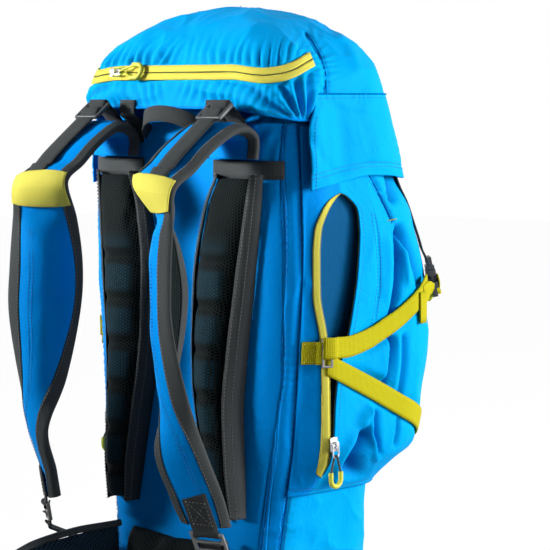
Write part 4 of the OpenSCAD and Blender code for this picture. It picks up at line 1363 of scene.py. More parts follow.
        # skirt in the lit copy of the cloth: painted light
        cloth = p.shell("lid_skirt_cloth", f.bright, 1.6, f.inside)
        kit.place(cloth, "lid", Slot.SHELL, "lid_skirt")
        n = p.normals()
        lines = [p.pts[r] + n[r] * 0.25 for r in (int(k / SKIRT_DROP * 63) for k in (9.5, 13.5, 80.5))]
        lines += [p.pts[:48, c] + n[:48, c] * 0.25 for c in (3, 246)]
        kit.sew("skirt_stitches", lines, f.thread, Slot.SHELL, "lid")
        # top seam tube in darker blue: painted shade along the seam
        kit.place(tube("skirt_seam", p.pts[-1], 0.9, f.seam, 6), "lid", Slot.SHELL)

    def zip(self) -> None:
        """Zip tapes round the back of the lid with their coil, slider and pull."""
        kit, f = self.kit, self.kit.finish
        u = np.concatenate((np.linspace(7.86, 10, 94, endpoint=False), np.linspace(0, 2.14, 95)))
        turn = self.tape_mm / LID_RISE * 57.3
        mid = self.zip_angle(u)
        tapes = []
        for k, (lo, hi) in enumerate(((-turn - 0.35, -0.35), (0.35, turn + 0.35))):
            bb = mid[None, :] + np.linspace(lo, hi, 5)[:, None]
            tapes.append(Patch(dome_pt(np.broadcast_to(u, bb.shape), bb, 1.3)).shell(f"lid_tape_{k}", f.zip, 1.1))
        kit.place(joined("lid_zip_tape", tapes), "lid", Slot.ZIP, "lid_zip")
        kit.sew("lid_zip_coil", [dome_pt(u, mid, 0.9)], f.coil, Slot.ZIP, "lid", Repeat.TOOTH)
        lines = [dome_pt(u, mid + d, 1.6) for d in (-turn * 0.8, turn * 0.8)]
        kit.sew("lid_zip_stitches", lines, f.lime_thread, Slot.ZIP, "lid")
        kit.soften("lid_slider", "lid_slider", Slot.METAL, f.steel, 0.35)
        kit.soften("lid_pull", "lid_pull", Slot.GRIP, f.grip, 0.2)


@dataclass
class FrontPocket:
    """Wrap-around front pocket with zips at both sides."""

    kit: Kit
    rows: Sequence[float] = field(default_factory=lambda: np.linspace(POCKET_FOOT, POCKET_TOP, 172))
    columns: Array = field(default_factory=lambda: np.concatenate((
        np.linspace(0, 0.27, 122, endpoint=False), np.linspace(0.27, 0.73, 40, endpoint=False),
        np.linspace(0.73, 1, 122))))
    cord_from: float = 165.2
    sewn_folds: tuple[Pairs, ...] = (((366, 172), (380, 196), (393, 222)),
                                     ((373, 214), (377, 235), (379, 262), (379, 288), (374, 322)))
    pleats: tuple[Crease, ...] = (
        Crease(((366, 168), (375, 183), (388, 211), (393, 223)), 2.2, -3.0, 0.05, pucker=1.0),
        Crease(((385, 164), (389, 185), (392, 206)), 2.0, -8.0, 0.25, 6.0),
        Crease(((394, 222), (403, 240), (410, 257), (415, 271), (420, 288)), 1.4, -9.0, 0.1, 5.5),
        Crease(((394.5, 226), (396, 245), (396.5, 262), (396, 280), (394.5, 292), (392.5, 306), (389, 324)),
               1.5, -11.0, 0.1, 4.2),
        Crease(((402, 244), (405, 264), (408, 288)), 3.0, 3.0),
        Crease(((387, 228), (390, 265), (386, 305)), 6.0, 3.0, 0.2, 2.0),
        Crease(((373, 214), (377, 235), (379, 262), (379, 288), (374, 322)), 1.8, -1.6, 0.1),
        Crease(((366, 215), (369, 262), (366, 318)), 8.0, 1.6),
        Crease(((389, 332), (388, 345), (385, 365), (382, 385), (380, 398)), 1.5, -12.0, 0.08, 4.4),
        Crease(((386, 330), (383, 365), (378, 398)), 24.0, 6.0, 0.12, 2.0),
        Crease(((397, 330), (396, 360), (392, 400)), 3.0, 3.0, 0.1),
        Crease(((403, 330), (402, 360), (400, 402)), 1.6, -5.0, 0.12, 3.2),
        Crease(((368, 404), (361, 430), (347, 447), (336, 466), (331, 490)), 6.0, 7.0, 0.12, 3.4),
        Crease(((366, 424), (359, 445), (352, 462), (349, 482)), 6.0, -14.0, 0.2, 10.0),
        Crease(((367, 400), (371, 428), (377, 448), (379, 466)), 3.0, 4.5, 0.15, 2.0),
        Crease(((376, 408), (377, 435), (380, 460)), 1.4, -7.0, 0.12, 3.2),
        Crease(((399, 416), (398, 434), (395, 450)), 1.4, -4.0, 0.15, 2.4),
        Crease(((347, 372), (360, 386), (372, 404)), 6.0, 1.6),
    )

    @staticmethod
    def rise_of(u: Array) -> Array:
        """Middle line of the upper compression strap, as (place, height)."""
        return np.stack([u, STRAP_RISE(u)], -1)

    def press(self, u: Array, z: Array) -> Array:
        """Share of the straps' pull on the cloth, 1 right under them."""
        u = left_half(u)
        total = np.zeros(u.shape)
        for u1, mid in ((3.4, STRAP_RISE(u)), (3.85, 270.5 - 92.5 * (u - 2) / 1.8)):
            away = np.abs(z - mid)
            total = np.maximum(total, np.exp(-(np.maximum(away - 9.5, 0) / 5) ** 2) * smooth((u1 + 0.12 - u) / 0.12))
        return total

    def front(self) -> Patch:
        """Grid of the front panel between the two zips, with painted shade in its deep folds."""
        tt, zz = np.meshgrid(self.columns, self.rows)
        lip = FRONT_LIP(zz)
        uu = lip + (10 - 2 * lip) * tt
        p = Patch(pocket_pt(uu, zz))
        inner = smooth(np.minimum(tt, 1 - tt) / 0.04) * smooth((zz - POCKET_FOOT) / 14) * smooth((POCKET_TOP - zz) / 30)
        base, facing = p.pts.copy(), p.facing()
        total = sum((c.on(base, facing) for c in self.pleats), np.zeros(base.shape[:2]))
        total = total + crumple(base, (60, 60, 110), 2.2, 31.0) + crumple(base, (22, 22, 60), 0.6, 37.0)
        press = self.press(uu, zz)
        between = np.exp(-((zz - 262 - 4 * (uu - 2)) / 26) ** 2) * smooth((uu - 2.5) / 0.4) * smooth((4.2 - uu) / 0.5)
        total = total + 2.5 * between
        p.push(inner * (np.where(total > 0, 1 - press, 1.0) * total - 1.2 * press))
        # painted shade in the deep fold grooves
        deep = sum((c.on(base, facing) for c in self.pleats if c.height <= -4), np.zeros(base.shape[:2]))
        p.painted_fold_shade = np.clip(-deep / 9, 0, 1) * inner
        return p

    def on_cloth(self, front: Patch, lift: float) -> Callable[[Array, Array], Array]:
        """Front panel as it lies, as a surface of place and height."""
        pts = front.pts + front.normals() * lift
        rows, cols = pts.shape[:2]

        def form(u: Array, z: Array) -> Array:
            """Point between the four nearest corners of the grid."""
            lip = FRONT_LIP(z)
            c = np.interp((u - lip) / (10 - 2 * lip), self.columns, np.arange(cols))
            r = np.interp(z, self.rows, np.arange(rows))
            i, j = np.minimum(r.astype(int), rows - 2), np.minimum(c.astype(int), cols - 2)
            a, b = (r - i)[:, None], (c - j)[:, None]
            return ((pts[i, j] * (1 - b) + pts[i, j + 1] * b) * (1 - a)
                    + (pts[i + 1, j] * (1 - b) + pts[i + 1, j + 1] * b) * a)
        return form

    def side(self) -> Patch:
        """Grid of the left side panel behind the zip."""
        tt, zz = np.meshgrid(np.linspace(0, 1, 40), self.rows)
        lip = REAR_LIP(zz)
        p = Patch(pocket_pt(POCKET_REAR + (lip - POCKET_REAR) * tt, zz))
        inner = smooth(tt / 0.2) * smooth((1 - tt) / 0.2) * smooth((zz - POCKET_FOOT) / 18)
        p.push(inner * crumple(p.pts, (40, 40, 80), 1.6, 41.0))
        return p

    def build(self) -> None:
        """Make panels, zips, sliders and pulls."""
        kit, f = self.kit, self.kit.finish
        front = self.front()
        on_cloth = self.on_cloth(front, 0.25)
        # front panel in the lit copy of the cloth: painted light
        kit.place(front.shell("pocket_front_cloth", f.bright, 1.4, f.inside), "pack", Slot.SHELL, "pocket_front")
        side = self.side()
        kit.place(side.shell("pocket_side_cloth_left", f.cloth, 1.4, f.inside), "pack", Slot.SHELL, "pocket_side_left")
        kit.place(side.mirrored().shell("pocket_side_cloth_right", f.cloth, 1.4, f.inside), "pack", Slot.SHELL,
                  "pocket_side_right")
        lines = []
        for d in (-1.8, 1.8):
            for path in self.sewn_folds:
                line = trace(on_cloth, [(x + d, y) for x, y in path], 2.5, 3.6, 60)
                lines += [line, flip(line)]
        base = trace(lambda a, b: pocket_pt(a, b, 0.6), [(289, 491), (327, 490), (351, 485), (367, 480)], 1.74, 3.4, 60)
        lines += [base, flip(base)]
        kit.sew("pocket_stitches", lines, f.thread, Slot.SHELL)
        line = trace(lambda a, b: pocket_pt(a, b, -1.6), [(366, 170), (380, 196), (393, 223)], 1.74, 3.6, 60)
        # seam tubes in darker blue: painted shade along the seam
        tubes = [tube("seam", q, 0.8, f.seam, 6) for q in (line, flip(line))]
        kit.place(joined("pocket_seams", tubes), "pack", Slot.SHELL)
        tack = trace(lambda a, b: pocket_pt(a, b, 0.6), [(387, 220), (396, 218)], 2.5, 3.8, 12)
        kit.sew("pocket_bartacks", [tack, flip(tack)], f.lime_thread, Slot.SHELL, kind=Repeat.BARTACK)
        for s in Side:
            self.zip(s)

    def zip(self, s: Side) -> None:
        """Tapes, teeth, slider and pull of one side.

        Args:
            s: side of the wearer.
        """
        kit, f = self.kit, self.kit.finish
        z = np.linspace(158, 436, 150)
        width = smooth((z - 157) / 6)[:, None] * smooth((438 - z) / 8)[:, None]
        zz, kk = np.meshgrid(z, np.linspace(0, 1, 6), indexing="ij")
        rear = Patch(pocket_pt(REAR_LIP(zz) - 5.4 / 71 * kk * width, zz, 1.3)[:, ::-1].copy())
        front = Patch(pocket_pt(FRONT_LIP(zz) + (5 / 105 * kk + 0.02) * width, zz, -3.0))
        parts = [s.patch(q).shell("tape", f.zip, 0.9) for q in (rear, front)]
        kit.place(joined("pocket_tape_" + s.tag, parts), "pack", Slot.ZIP, "pocket_zip_" + s.tag)
        teeth = [s.turn(pocket_pt(REAR_LIP(z) + 0.008, z, 0.9)), s.turn(pocket_pt(FRONT_LIP(z) + 0.012, z, -3.2))]
        kit.sew("pocket_teeth_" + s.tag, teeth, f.zip, Slot.ZIP, kind=Repeat.TOOTH)
        sewn = [s.turn(pocket_pt(REAR_LIP(z) - 4.3 / 71, z, 1.6)[6:-6])]
        kit.sew("pocket_zip_stitches_" + s.tag, sewn, f.lime_thread, Slot.ZIP)
        lip = [s.turn(pocket_pt(FRONT_LIP(z) + 5.0 / 105, z, 0.2)[6:-6])]
        kit.sew("pocket_lip_stitches_" + s.tag, lip, f.thread, Slot.SHELL)
        kit.soften("pocket_slider_" + s.tag, "pocket_slider_" + s.tag, Slot.METAL, f.steel, 0.35)
        kit.soften("pocket_bail_" + s.tag, "pocket_pull_" + s.tag, Slot.METAL, f.steel, 0.15)
        pull = kit.soften("pocket_pull_" + s.tag, "pocket_pull_" + s.tag, Slot.GRIP, f.grip, 0.2)
        pull.data.materials.append(f.cord)
        for face in pull.data.polygons:
            face.material_index = int(face.center.z > self.cord_from * MM)


@dataclass
class SideStraps:
    """V of compression webbing at each side, its tab and ring, and the corner buckles."""

    kit: Kit
    buckle_at: tuple[float, float, float] = (143.3, 149.8, 334.0)
    tilt: float = math.radians(11)

    def loop(self, s: Side) -> bpy.types.Object:
        """End of the upper strap, turned through the bar of the corner buckle."""
        lean = math.sin(self.tilt) * DIAG
        up = np.array([-lean, -lean, math.cos(self.tilt)])
        out = np.array([math.cos(self.tilt) * DIAG] * 2 + [math.sin(self.tilt)])
        along = np.array([DIAG, -DIAG, 0.0])
        o = np.array(self.buckle_at)
        path = spline([pocket_pt(3.22, 330.0, 3.6), pocket_pt(3.34, 333.0, 4.6), o - up * 7.0 + along * 6 - out * 2.2,
                       o - up * 4.6 + out * 0.6 + along * 2, o - up * 2.5 + out * 4.6, o + up * 4 + out * 6.4,
                       o + up * 13 + out * 6.2], 48)
        k = smooth(np.linspace(0, 1, 48) / 0.5)[:, None]
        width = np.array([0.0, -0.25, 1.0]) * (1 - k) + along * k
        return webbing("loop", s.turn(path), s.turn(width), 19, self.kit.finish.lime)

    def leg(self, name: str, path: Pairs, half: float, mat: bpy.types.Material, off: float, s: Side,
            ramp: float = 0.0) -> bpy.types.Object:
        """Webbing that follows the pocket.

        Args:
            name: piece name.
            path: (place, height) corners of its middle line.
            half: half width.
            mat: finish.
            off: distance off the pocket.
            s: side of the wearer.
            ramp: 1 where it climbs over the ring at its start, -1 at its end.
        Returns:
            The new object.
        """
        q = resample(np.array(path, float) * [70.0, 1.0], 70) / [70.0, 1.0]
        k = np.linspace(-1, 1, 7)
        zz = q[:, 1][None, :] + half * k[:, None]
        uu = np.broadcast_to(q[:, 0], zz.shape)
        climb = smooth((2.1 - uu) / 0.06) if ramp > 0 else smooth((uu - 1.86) / 0.045)
        g = pocket_pt(uu, zz, off + 1.6 + climb * (6.0 if ramp > 0 else 4.0 if ramp else 0.0))
        ob = s.patch(Patch(g)).shell(name, mat, 1.6)
        run = arc(g[3])
        uv = np.stack([np.broadcast_to(run, zz.shape), np.broadcast_to(half * k[:, None], zz.shape)], -1)
        uv = uv if s is Side.LEFT else uv[:, ::-1]
        write_uv(ob.data, np.tile(uv.reshape(-1, 2), (2, 1)) * MM)
        return ob

    def build(self) -> None:
        """Make both sides."""
        kit, f = self.kit, self.kit.finish
        for s in Side:
            rise = FrontPocket.rise_of(np.linspace(1.912, 3.36, 24))
            legs = [self.leg("leg", rise, 10.5, f.lime, 1.4, s, 1),
                    self.leg("leg", ((1.99, 271.0), (3.8, 178)), 10.75, f.lime, 0.8, s),
                    self.leg("leg", ((3.13, 317), (3.24, 317)), 16.0, f.lime, 3.8, s)]
            legs.append(self.loop(s))
            strap = joined("compression_strap_" + s.tag, legs)
            kit.place(strap, "pack", Slot.LIME, "side_strap_" + s.tag)
            tab = self.leg("strap_tab_" + s.tag, ((1.74, 282), (1.925, 282)), 11, f.lime, 1.0, s, -1)
            kit.place(tab, "pack", Slot.LIME, *s.once("side_tabs"))
            z = np.linspace(359, 486, 40)
            mid = pocket_pt(np.full(40, 3.5), z, 1.4)
            mid[:6] += np.linspace(4.0, 0, 6)[:, None] * np.array([[DIAG, DIAG, 0]])
            mid = s.turn(mid)
            across = (DIAG, -DIAG * s.value, 0)
            strip = webbing("corner_webbing_" + s.tag, mid, across, 20, f.grey)
            kit.span(strip, ("pack", "plug_" + s.tag), (mid[-1], mid[0]), Slot.GREY,
                     *s.once("front_webbings"))
            kit.soften("buckle_socket_" + s.tag, "pack", Slot.BUCKLE, f.plastic, 1.2)
            kit.soften("buckle_plug_" + s.tag, "plug_" + s.tag, Slot.BUCKLE, f.plastic, 0.8)
            lines = []
            for z0, z1 in ((273, 273), (291, 291), (273, 291), (291, 273)):
                line = pocket_pt(np.linspace(1.76, 1.9, 12), np.linspace(z0, z1, 12), 3.0)
                lines.append(s.turn(line))
            kit.sew("tab_stitches_" + s.tag, lines, f.lime_thread, Slot.LIME)
        kit.soften("side_rings", "pack", Slot.METAL, f.dull_steel, 0.6)


EDGE_OUT = ((119, 0, 470), (119, 0, 492), (117, .173, 499), (115, .458, 483), (114, .693, 462), (114, .923, 444),
            (114, .962, 411), (115, .997, 361), (117, .997, 314), (121, .862, 249), (125, .674, 196), (129, .505, 151),
            (131, .43, 122))
EDGE_IN = ((50, 0, 470), (50, 0, 492), (50, .186, 500), (49, .446, 485), (48, .656, 466), (51, .823, 447),
           (67, .594, 408), (74, .477, 361), (76, .495, 314), (77, .656, 249), (80, .867, 198), (86, .755, 153),
           (92, .669, 126))


@dataclass
class Harness:
    """Shoulder straps, load lifters, tails and the haul loop."""

    kit: Kit
    root_y: float = -85.7
    reach: float = 113.3
    half: float = 7.0
    lined_to: float = 2.5
    puff: Profile = Profile([(-1, .2), (0, .28), (.1, .62), (.25, .9), (.5, 1), (.75, .9), (.9, .62), (1, .28),
                             (2, .2)])
    bow: Profile = Profile([(0, 0), (5.6, 0), (6.2, 12), (7, 19), (8, 19), (9, 12), (10, 4), (11, 0), (12, 0)])

    def edge(self, knots: Sequence[Sequence[float]], s: Array) -> Array:
        """Point of one strap edge at stations s from 0 to 12."""
        q = np.array([(x, self.root_y - share * self.reach, z) for x, share, z in knots], float)
        return catmull(q, np.asarray(s, float))

    def point(self, s: Array, t: Array, d: Array | float) -> Array:
        """Point of the strap at station s, t across from its outer edge, d towards the wearer."""
        s, t, d = np.broadcast_arrays(np.asarray(s, float), np.asarray(t, float), np.asarray(d, float))
        o, i = self.edge(EDGE_OUT, s), self.edge(EDGE_IN, s)
        h = 0.05
        run = (self.edge(EDGE_OUT, s + h) + self.edge(EDGE_IN, s + h)
               - self.edge(EDGE_OUT, s - h) - self.edge(EDGE_IN, s - h))
        n = np.cross(run, i - o)
        n /= np.linalg.norm(n, axis=-1, keepdims=True)
        return o + (i - o) * t[..., None] + n * (d - self.bow(s) * 4 * t * (1 - t))[..., None]

    def width(self, s: Array) -> Array:
        """Width of the strap at stations."""
        return np.linalg.norm(self.edge(EDGE_OUT, s) - self.edge(EDGE_IN, s), axis=-1)

    def pad(self, s: Side) -> bpy.types.Object:
        """Padded strap: cloth outside, mesh towards the wearer."""
        f = self.kit.finish
        st = np.linspace(0, 12, 150)
        t = np.linspace(0, 1, 17)
        tt, ss = np.meshgrid(t, st)
        ripple = 0.9 * lattice(np.stack([ss * 2.6, tt * 2.0, 0 * ss], -1), 3.0)
        outer = Patch(self.point(ss, tt, -self.puff(tt) * self.half - ripple * np.sin(np.pi * tt)))
        inner = Patch(self.point(ss, tt[:, ::-1], self.puff(tt) * self.half)).pts
        ring = np.concatenate([outer.pts, inner], axis=1)
        p = s.patch(Patch(ring, loop=True))
        rows, cols = p.pts.shape[:2]
        pts = p.pts.reshape(-1, 3)
        faces, index = [], []
        cloth = range(17) if s is Side.LEFT else range(17, 34)
        for r in range(rows - 1):
            for c in range(cols):
                d = (c + 1) % cols
                faces.append([r * cols + c, r * cols + d, (r + 1) * cols + d, (r + 1) * cols + c])
                index.append(0 if (c in cloth and d in cloth) or st[r] < self.lined_to else 1)
        for r, turn in ((0, -1), (rows - 1, 1)):
            half = [r * cols + c for c in range(17)]
            other = [r * cols + cols - 1 - c for c in range(17)]
            for c in range(16):
                quad = [half[c], half[c + 1], other[c + 1], other[c]]
                faces.append(quad[::turn])
                index.append(0)
        across = self.width(st)[:, None] * np.concatenate((t, t[::-1]))[None, :]
        across = across if s is Side.LEFT else across[:, ::-1]
        run = arc(self.point(st, 0.5, 0))
        uv = np.stack([across, np.broadcast_to(run[:, None], across.shape)], -1).reshape(-1, 2) * MM
        ob = mesh_object("strap_pad_" + s.tag, pts, faces, uv, [f.cloth, f.net])
        ob.data.polygons.foreach_set("material_index", np.array(index, np.int32))
        fix_normals(ob)
        return ob

    def binding(self, s: Side) -> bpy.types.Object:
        """Grey tape folded over both edges of the strap."""
        f = self.kit.finish
        st = np.linspace(0.02, 12, 150)
        wide = self.width(st)
        near = [(8.2, -1, 0.9), (6.5, -1, 1.0), (4.5, -1, 1.0), (2.2, -1, 1.0), (0.6, -1, 0.9), (-0.6, -0.6, 0.6)]
        cross = near + [(-0.9, 0, 0.5)] + [(mm, -face, rise) for mm, face, rise in near[::-1]]
        parts = []
        for inner in (False, True):
            cols = []
            for mm, face, rise in cross:
                t = mm / wide
                d = face * (self.puff(np.clip(t, 0, 1)) * self.half + rise)
                cols.append(self.point(st, 1 - t if inner else t, d))
            g = np.stack(cols, axis=1)
            p = Patch(g if inner else g[:, ::-1].copy())
            parts.append(s.patch(p).shell("binding", f.binding, 0.8))
        return joined("strap_binding_" + s.tag, parts)

    def face_line(self, s: Side, s0: float, s1: float, mm: float, inner: bool, rise: float = 2.0) -> Array:
        """Line along the strap at a distance from one edge."""
        st = np.linspace(s0, s1, 120)
        t = mm / self.width(st)
        line = self.point(st, 1 - t if inner else t, -(self.puff(t) * self.half + rise))
        return s.turn(line)

    def build(self) -> None:
        """Make both straps with their webbing and buckles."""
        kit, f = self.kit, self.kit.finish
        for s in Side:
            strap = self.pad(s)
            kit.place(strap, "pack", Slot.SHELL, "shoulder_strap_" + s.tag)
            kit.place(self.binding(s), "pack", Slot.GREY)
            lines = [self.face_line(s, 0.3, 11.9, 6.8, inner, 1.3) for inner in (False, True)]
            kit.sew("strap_stitches_" + s.tag, lines, f.grey_thread, Slot.GREY)
            quilt = [self.face_line(s, 6.2, 11.0, mm, False, 0.3) for mm in (17.0, 20.0)]
            kit.sew("strap_quilting_" + s.tag, quilt, f.thread, Slot.SHELL)
            ss, tt = np.meshgrid(np.linspace(4.75, 5.6, 24), np.linspace(-0.012, 1.012, 26), indexing="ij")
            band = s.patch(Patch(self.point(ss, tt, -self.puff(np.clip(tt, 0, 1)) * self.half - 3.2)))
            kit.place(band.shell("strap_band_" + s.tag, f.pale_lime, 1.2), "pack", Slot.LIME,
                      *s.once("strap_bands"))
            self.lifter(s)
            self.tail(s)
        self.loop()

    def lifter(self, s: Side) -> None:
        """Load lifter webbing with its ladder lock and tab.

        Args:
            s: side of the wearer.
        """
        kit, f, x = self.kit, self.kit.finish, 88 * s.value
        low, top = self.point(np.array(4.95), 0.42, -13.4), np.array([x, -112.0, 516.0])
        low[0] = x
        d = (top - low) / np.linalg.norm(top - low)
        n = np.array([0, -d[2], d[1]])
        sewn = self.point(np.array([4.96, 4.86, 4.76, 4.66, 4.5]), 0.42,
                          -self.half - np.array([0.8, 0.8, 0.8, 1.0, 2.4]))
        sewn[:, 0] = x
        path = np.concatenate([sewn, [low + d * 24 - n * 1.6, low + d * 36 - n * 0.4, low + d * 50, top - d * 14,
                                      top - d * 7 + n * 0.5, top - d * 1 + n * 3.4, top + d * 1.5 + n * 2.6]])
        kit.place(webbing("lifter_web_" + s.tag, spline(path, 60), (1, 0, 0), 24, f.grey), "pack", Slot.GREY,
                  "lifter_webbing_" + s.tag)
        kit.soften("lifter_buckle_" + s.tag, "pack", Slot.BUCKLE, f.plastic, 1.2)
        tab = spline([(x, -76.1, 478), (x, -76.1, 492), (x, -79, 499), (x, -84, 508), (x, -96, 519),
                      top + d * 13.2 + n * 2.8, top + d * 10.4 + n * 3.0, top + d * 7.2 + n * 0.4,
                      top + d * 8.2 - n * 2.6], 50)
        kit.place(webbing("lifter_tab_" + s.tag, tab, (1, 0, 0), 24, f.grey), "pack", Slot.GREY,
                  *s.once("lifter_anchors"))

    def tail(self, s: Side) -> None:
        """Tail of the strap: sewn tab, ladder lock and webbing to the side seam.

        Args:
            s: side of the wearer.
        """
        kit, f = self.kit, self.kit.finish
        a, b = self.point(np.array([11.1, 12.0]), 0.5, -8.2)
        d = (b - a) / np.linalg.norm(b - a)
        c = b + d * 16
        across = self.point(np.array(12.0), 1.0, 0) - self.point(np.array(12.0), 0.0, 0)
        across /= np.linalg.norm(across)
        n = np.cross(d, across)
        tab = spline([a - d * 6 + n * 0.3, a, b, c - d * 8.5 - n * 2.6, c - d * 5.5, c - d * 7.5 + n * 2.7], 40)
        kit.place(webbing("tail_tab_" + s.tag, s.turn(tab), s.turn(across), 24, f.grey), "pack", Slot.GREY,
                  *s.once("strap_tabs"))
        kit.soften("strap_buckle_" + s.tag, "pack", Slot.BUCKLE, f.pale_plastic, 1.1)
        end = np.array([113.1, -56.98, 44.0])
        path = spline([c + d * 1.5 - n * 3.2, c + d * 4, c + d * 13.3, c + d * 18.3, (c + d * 13.3) * 0.55 + end * 0.45,
                       (c + d * 13.3) * 0.25 + end * 0.75, end], 60)
        k = np.linspace(0, 1, 60)[:, None]
        width = across * (1 - k) + np.array([0.83, 0.52, 0.21]) * np.sign(across[0]) * k
        kit.place(webbing("tail_web_" + s.tag, s.turn(path), s.turn(width), 20, f.grey), "pack", Slot.GREY,
                  *s.once("strap_webbings"))
        lines = []
        for k0, k1, t0, t1 in ((0, 1, -9, -9), (0, 1, 9, 9), (0, 1, -9, 9), (0, 1, 9, -9), (0, 0, -9, 9),
                               (1, 1, -9, 9)):
            w = np.linspace(0, 1, 14)[:, None]
            lines.append(s.turn(a + (b - a) * (k0 + (k1 - k0) * w) * 0.9 + across * (t0 + (t1 - t0) * w) - n * 1.1))
        kit.sew("tail_stitches_" + s.tag, lines, f.grey_thread, Slot.GREY)

    def loop(self) -> None:
        """Haul loop between the straps."""
        a = np.linspace(0, np.pi, 48)
        path = np.stack([-41 * np.cos(a), -77.6 - 24.6 * np.sin(a), 494 + 20 * np.sin(a)], -1)
        ob = webbing("haul_web", path, (0, 0.12, 1), 16, self.kit.finish.grey, 1.8)
        self.kit.place(ob, "haul_loop", Slot.GREY, "haul_loop")


def fix_normals(ob: bpy.types.Object) -> None:
    """Turn all faces of a closed mesh outward."""
    bm = bmesh.new()
    bm.from_mesh(ob.data)
    bmesh.ops.recalc_face_normals(bm, faces=bm.faces)
    bm.to_mesh(ob.data)
    bm.free()


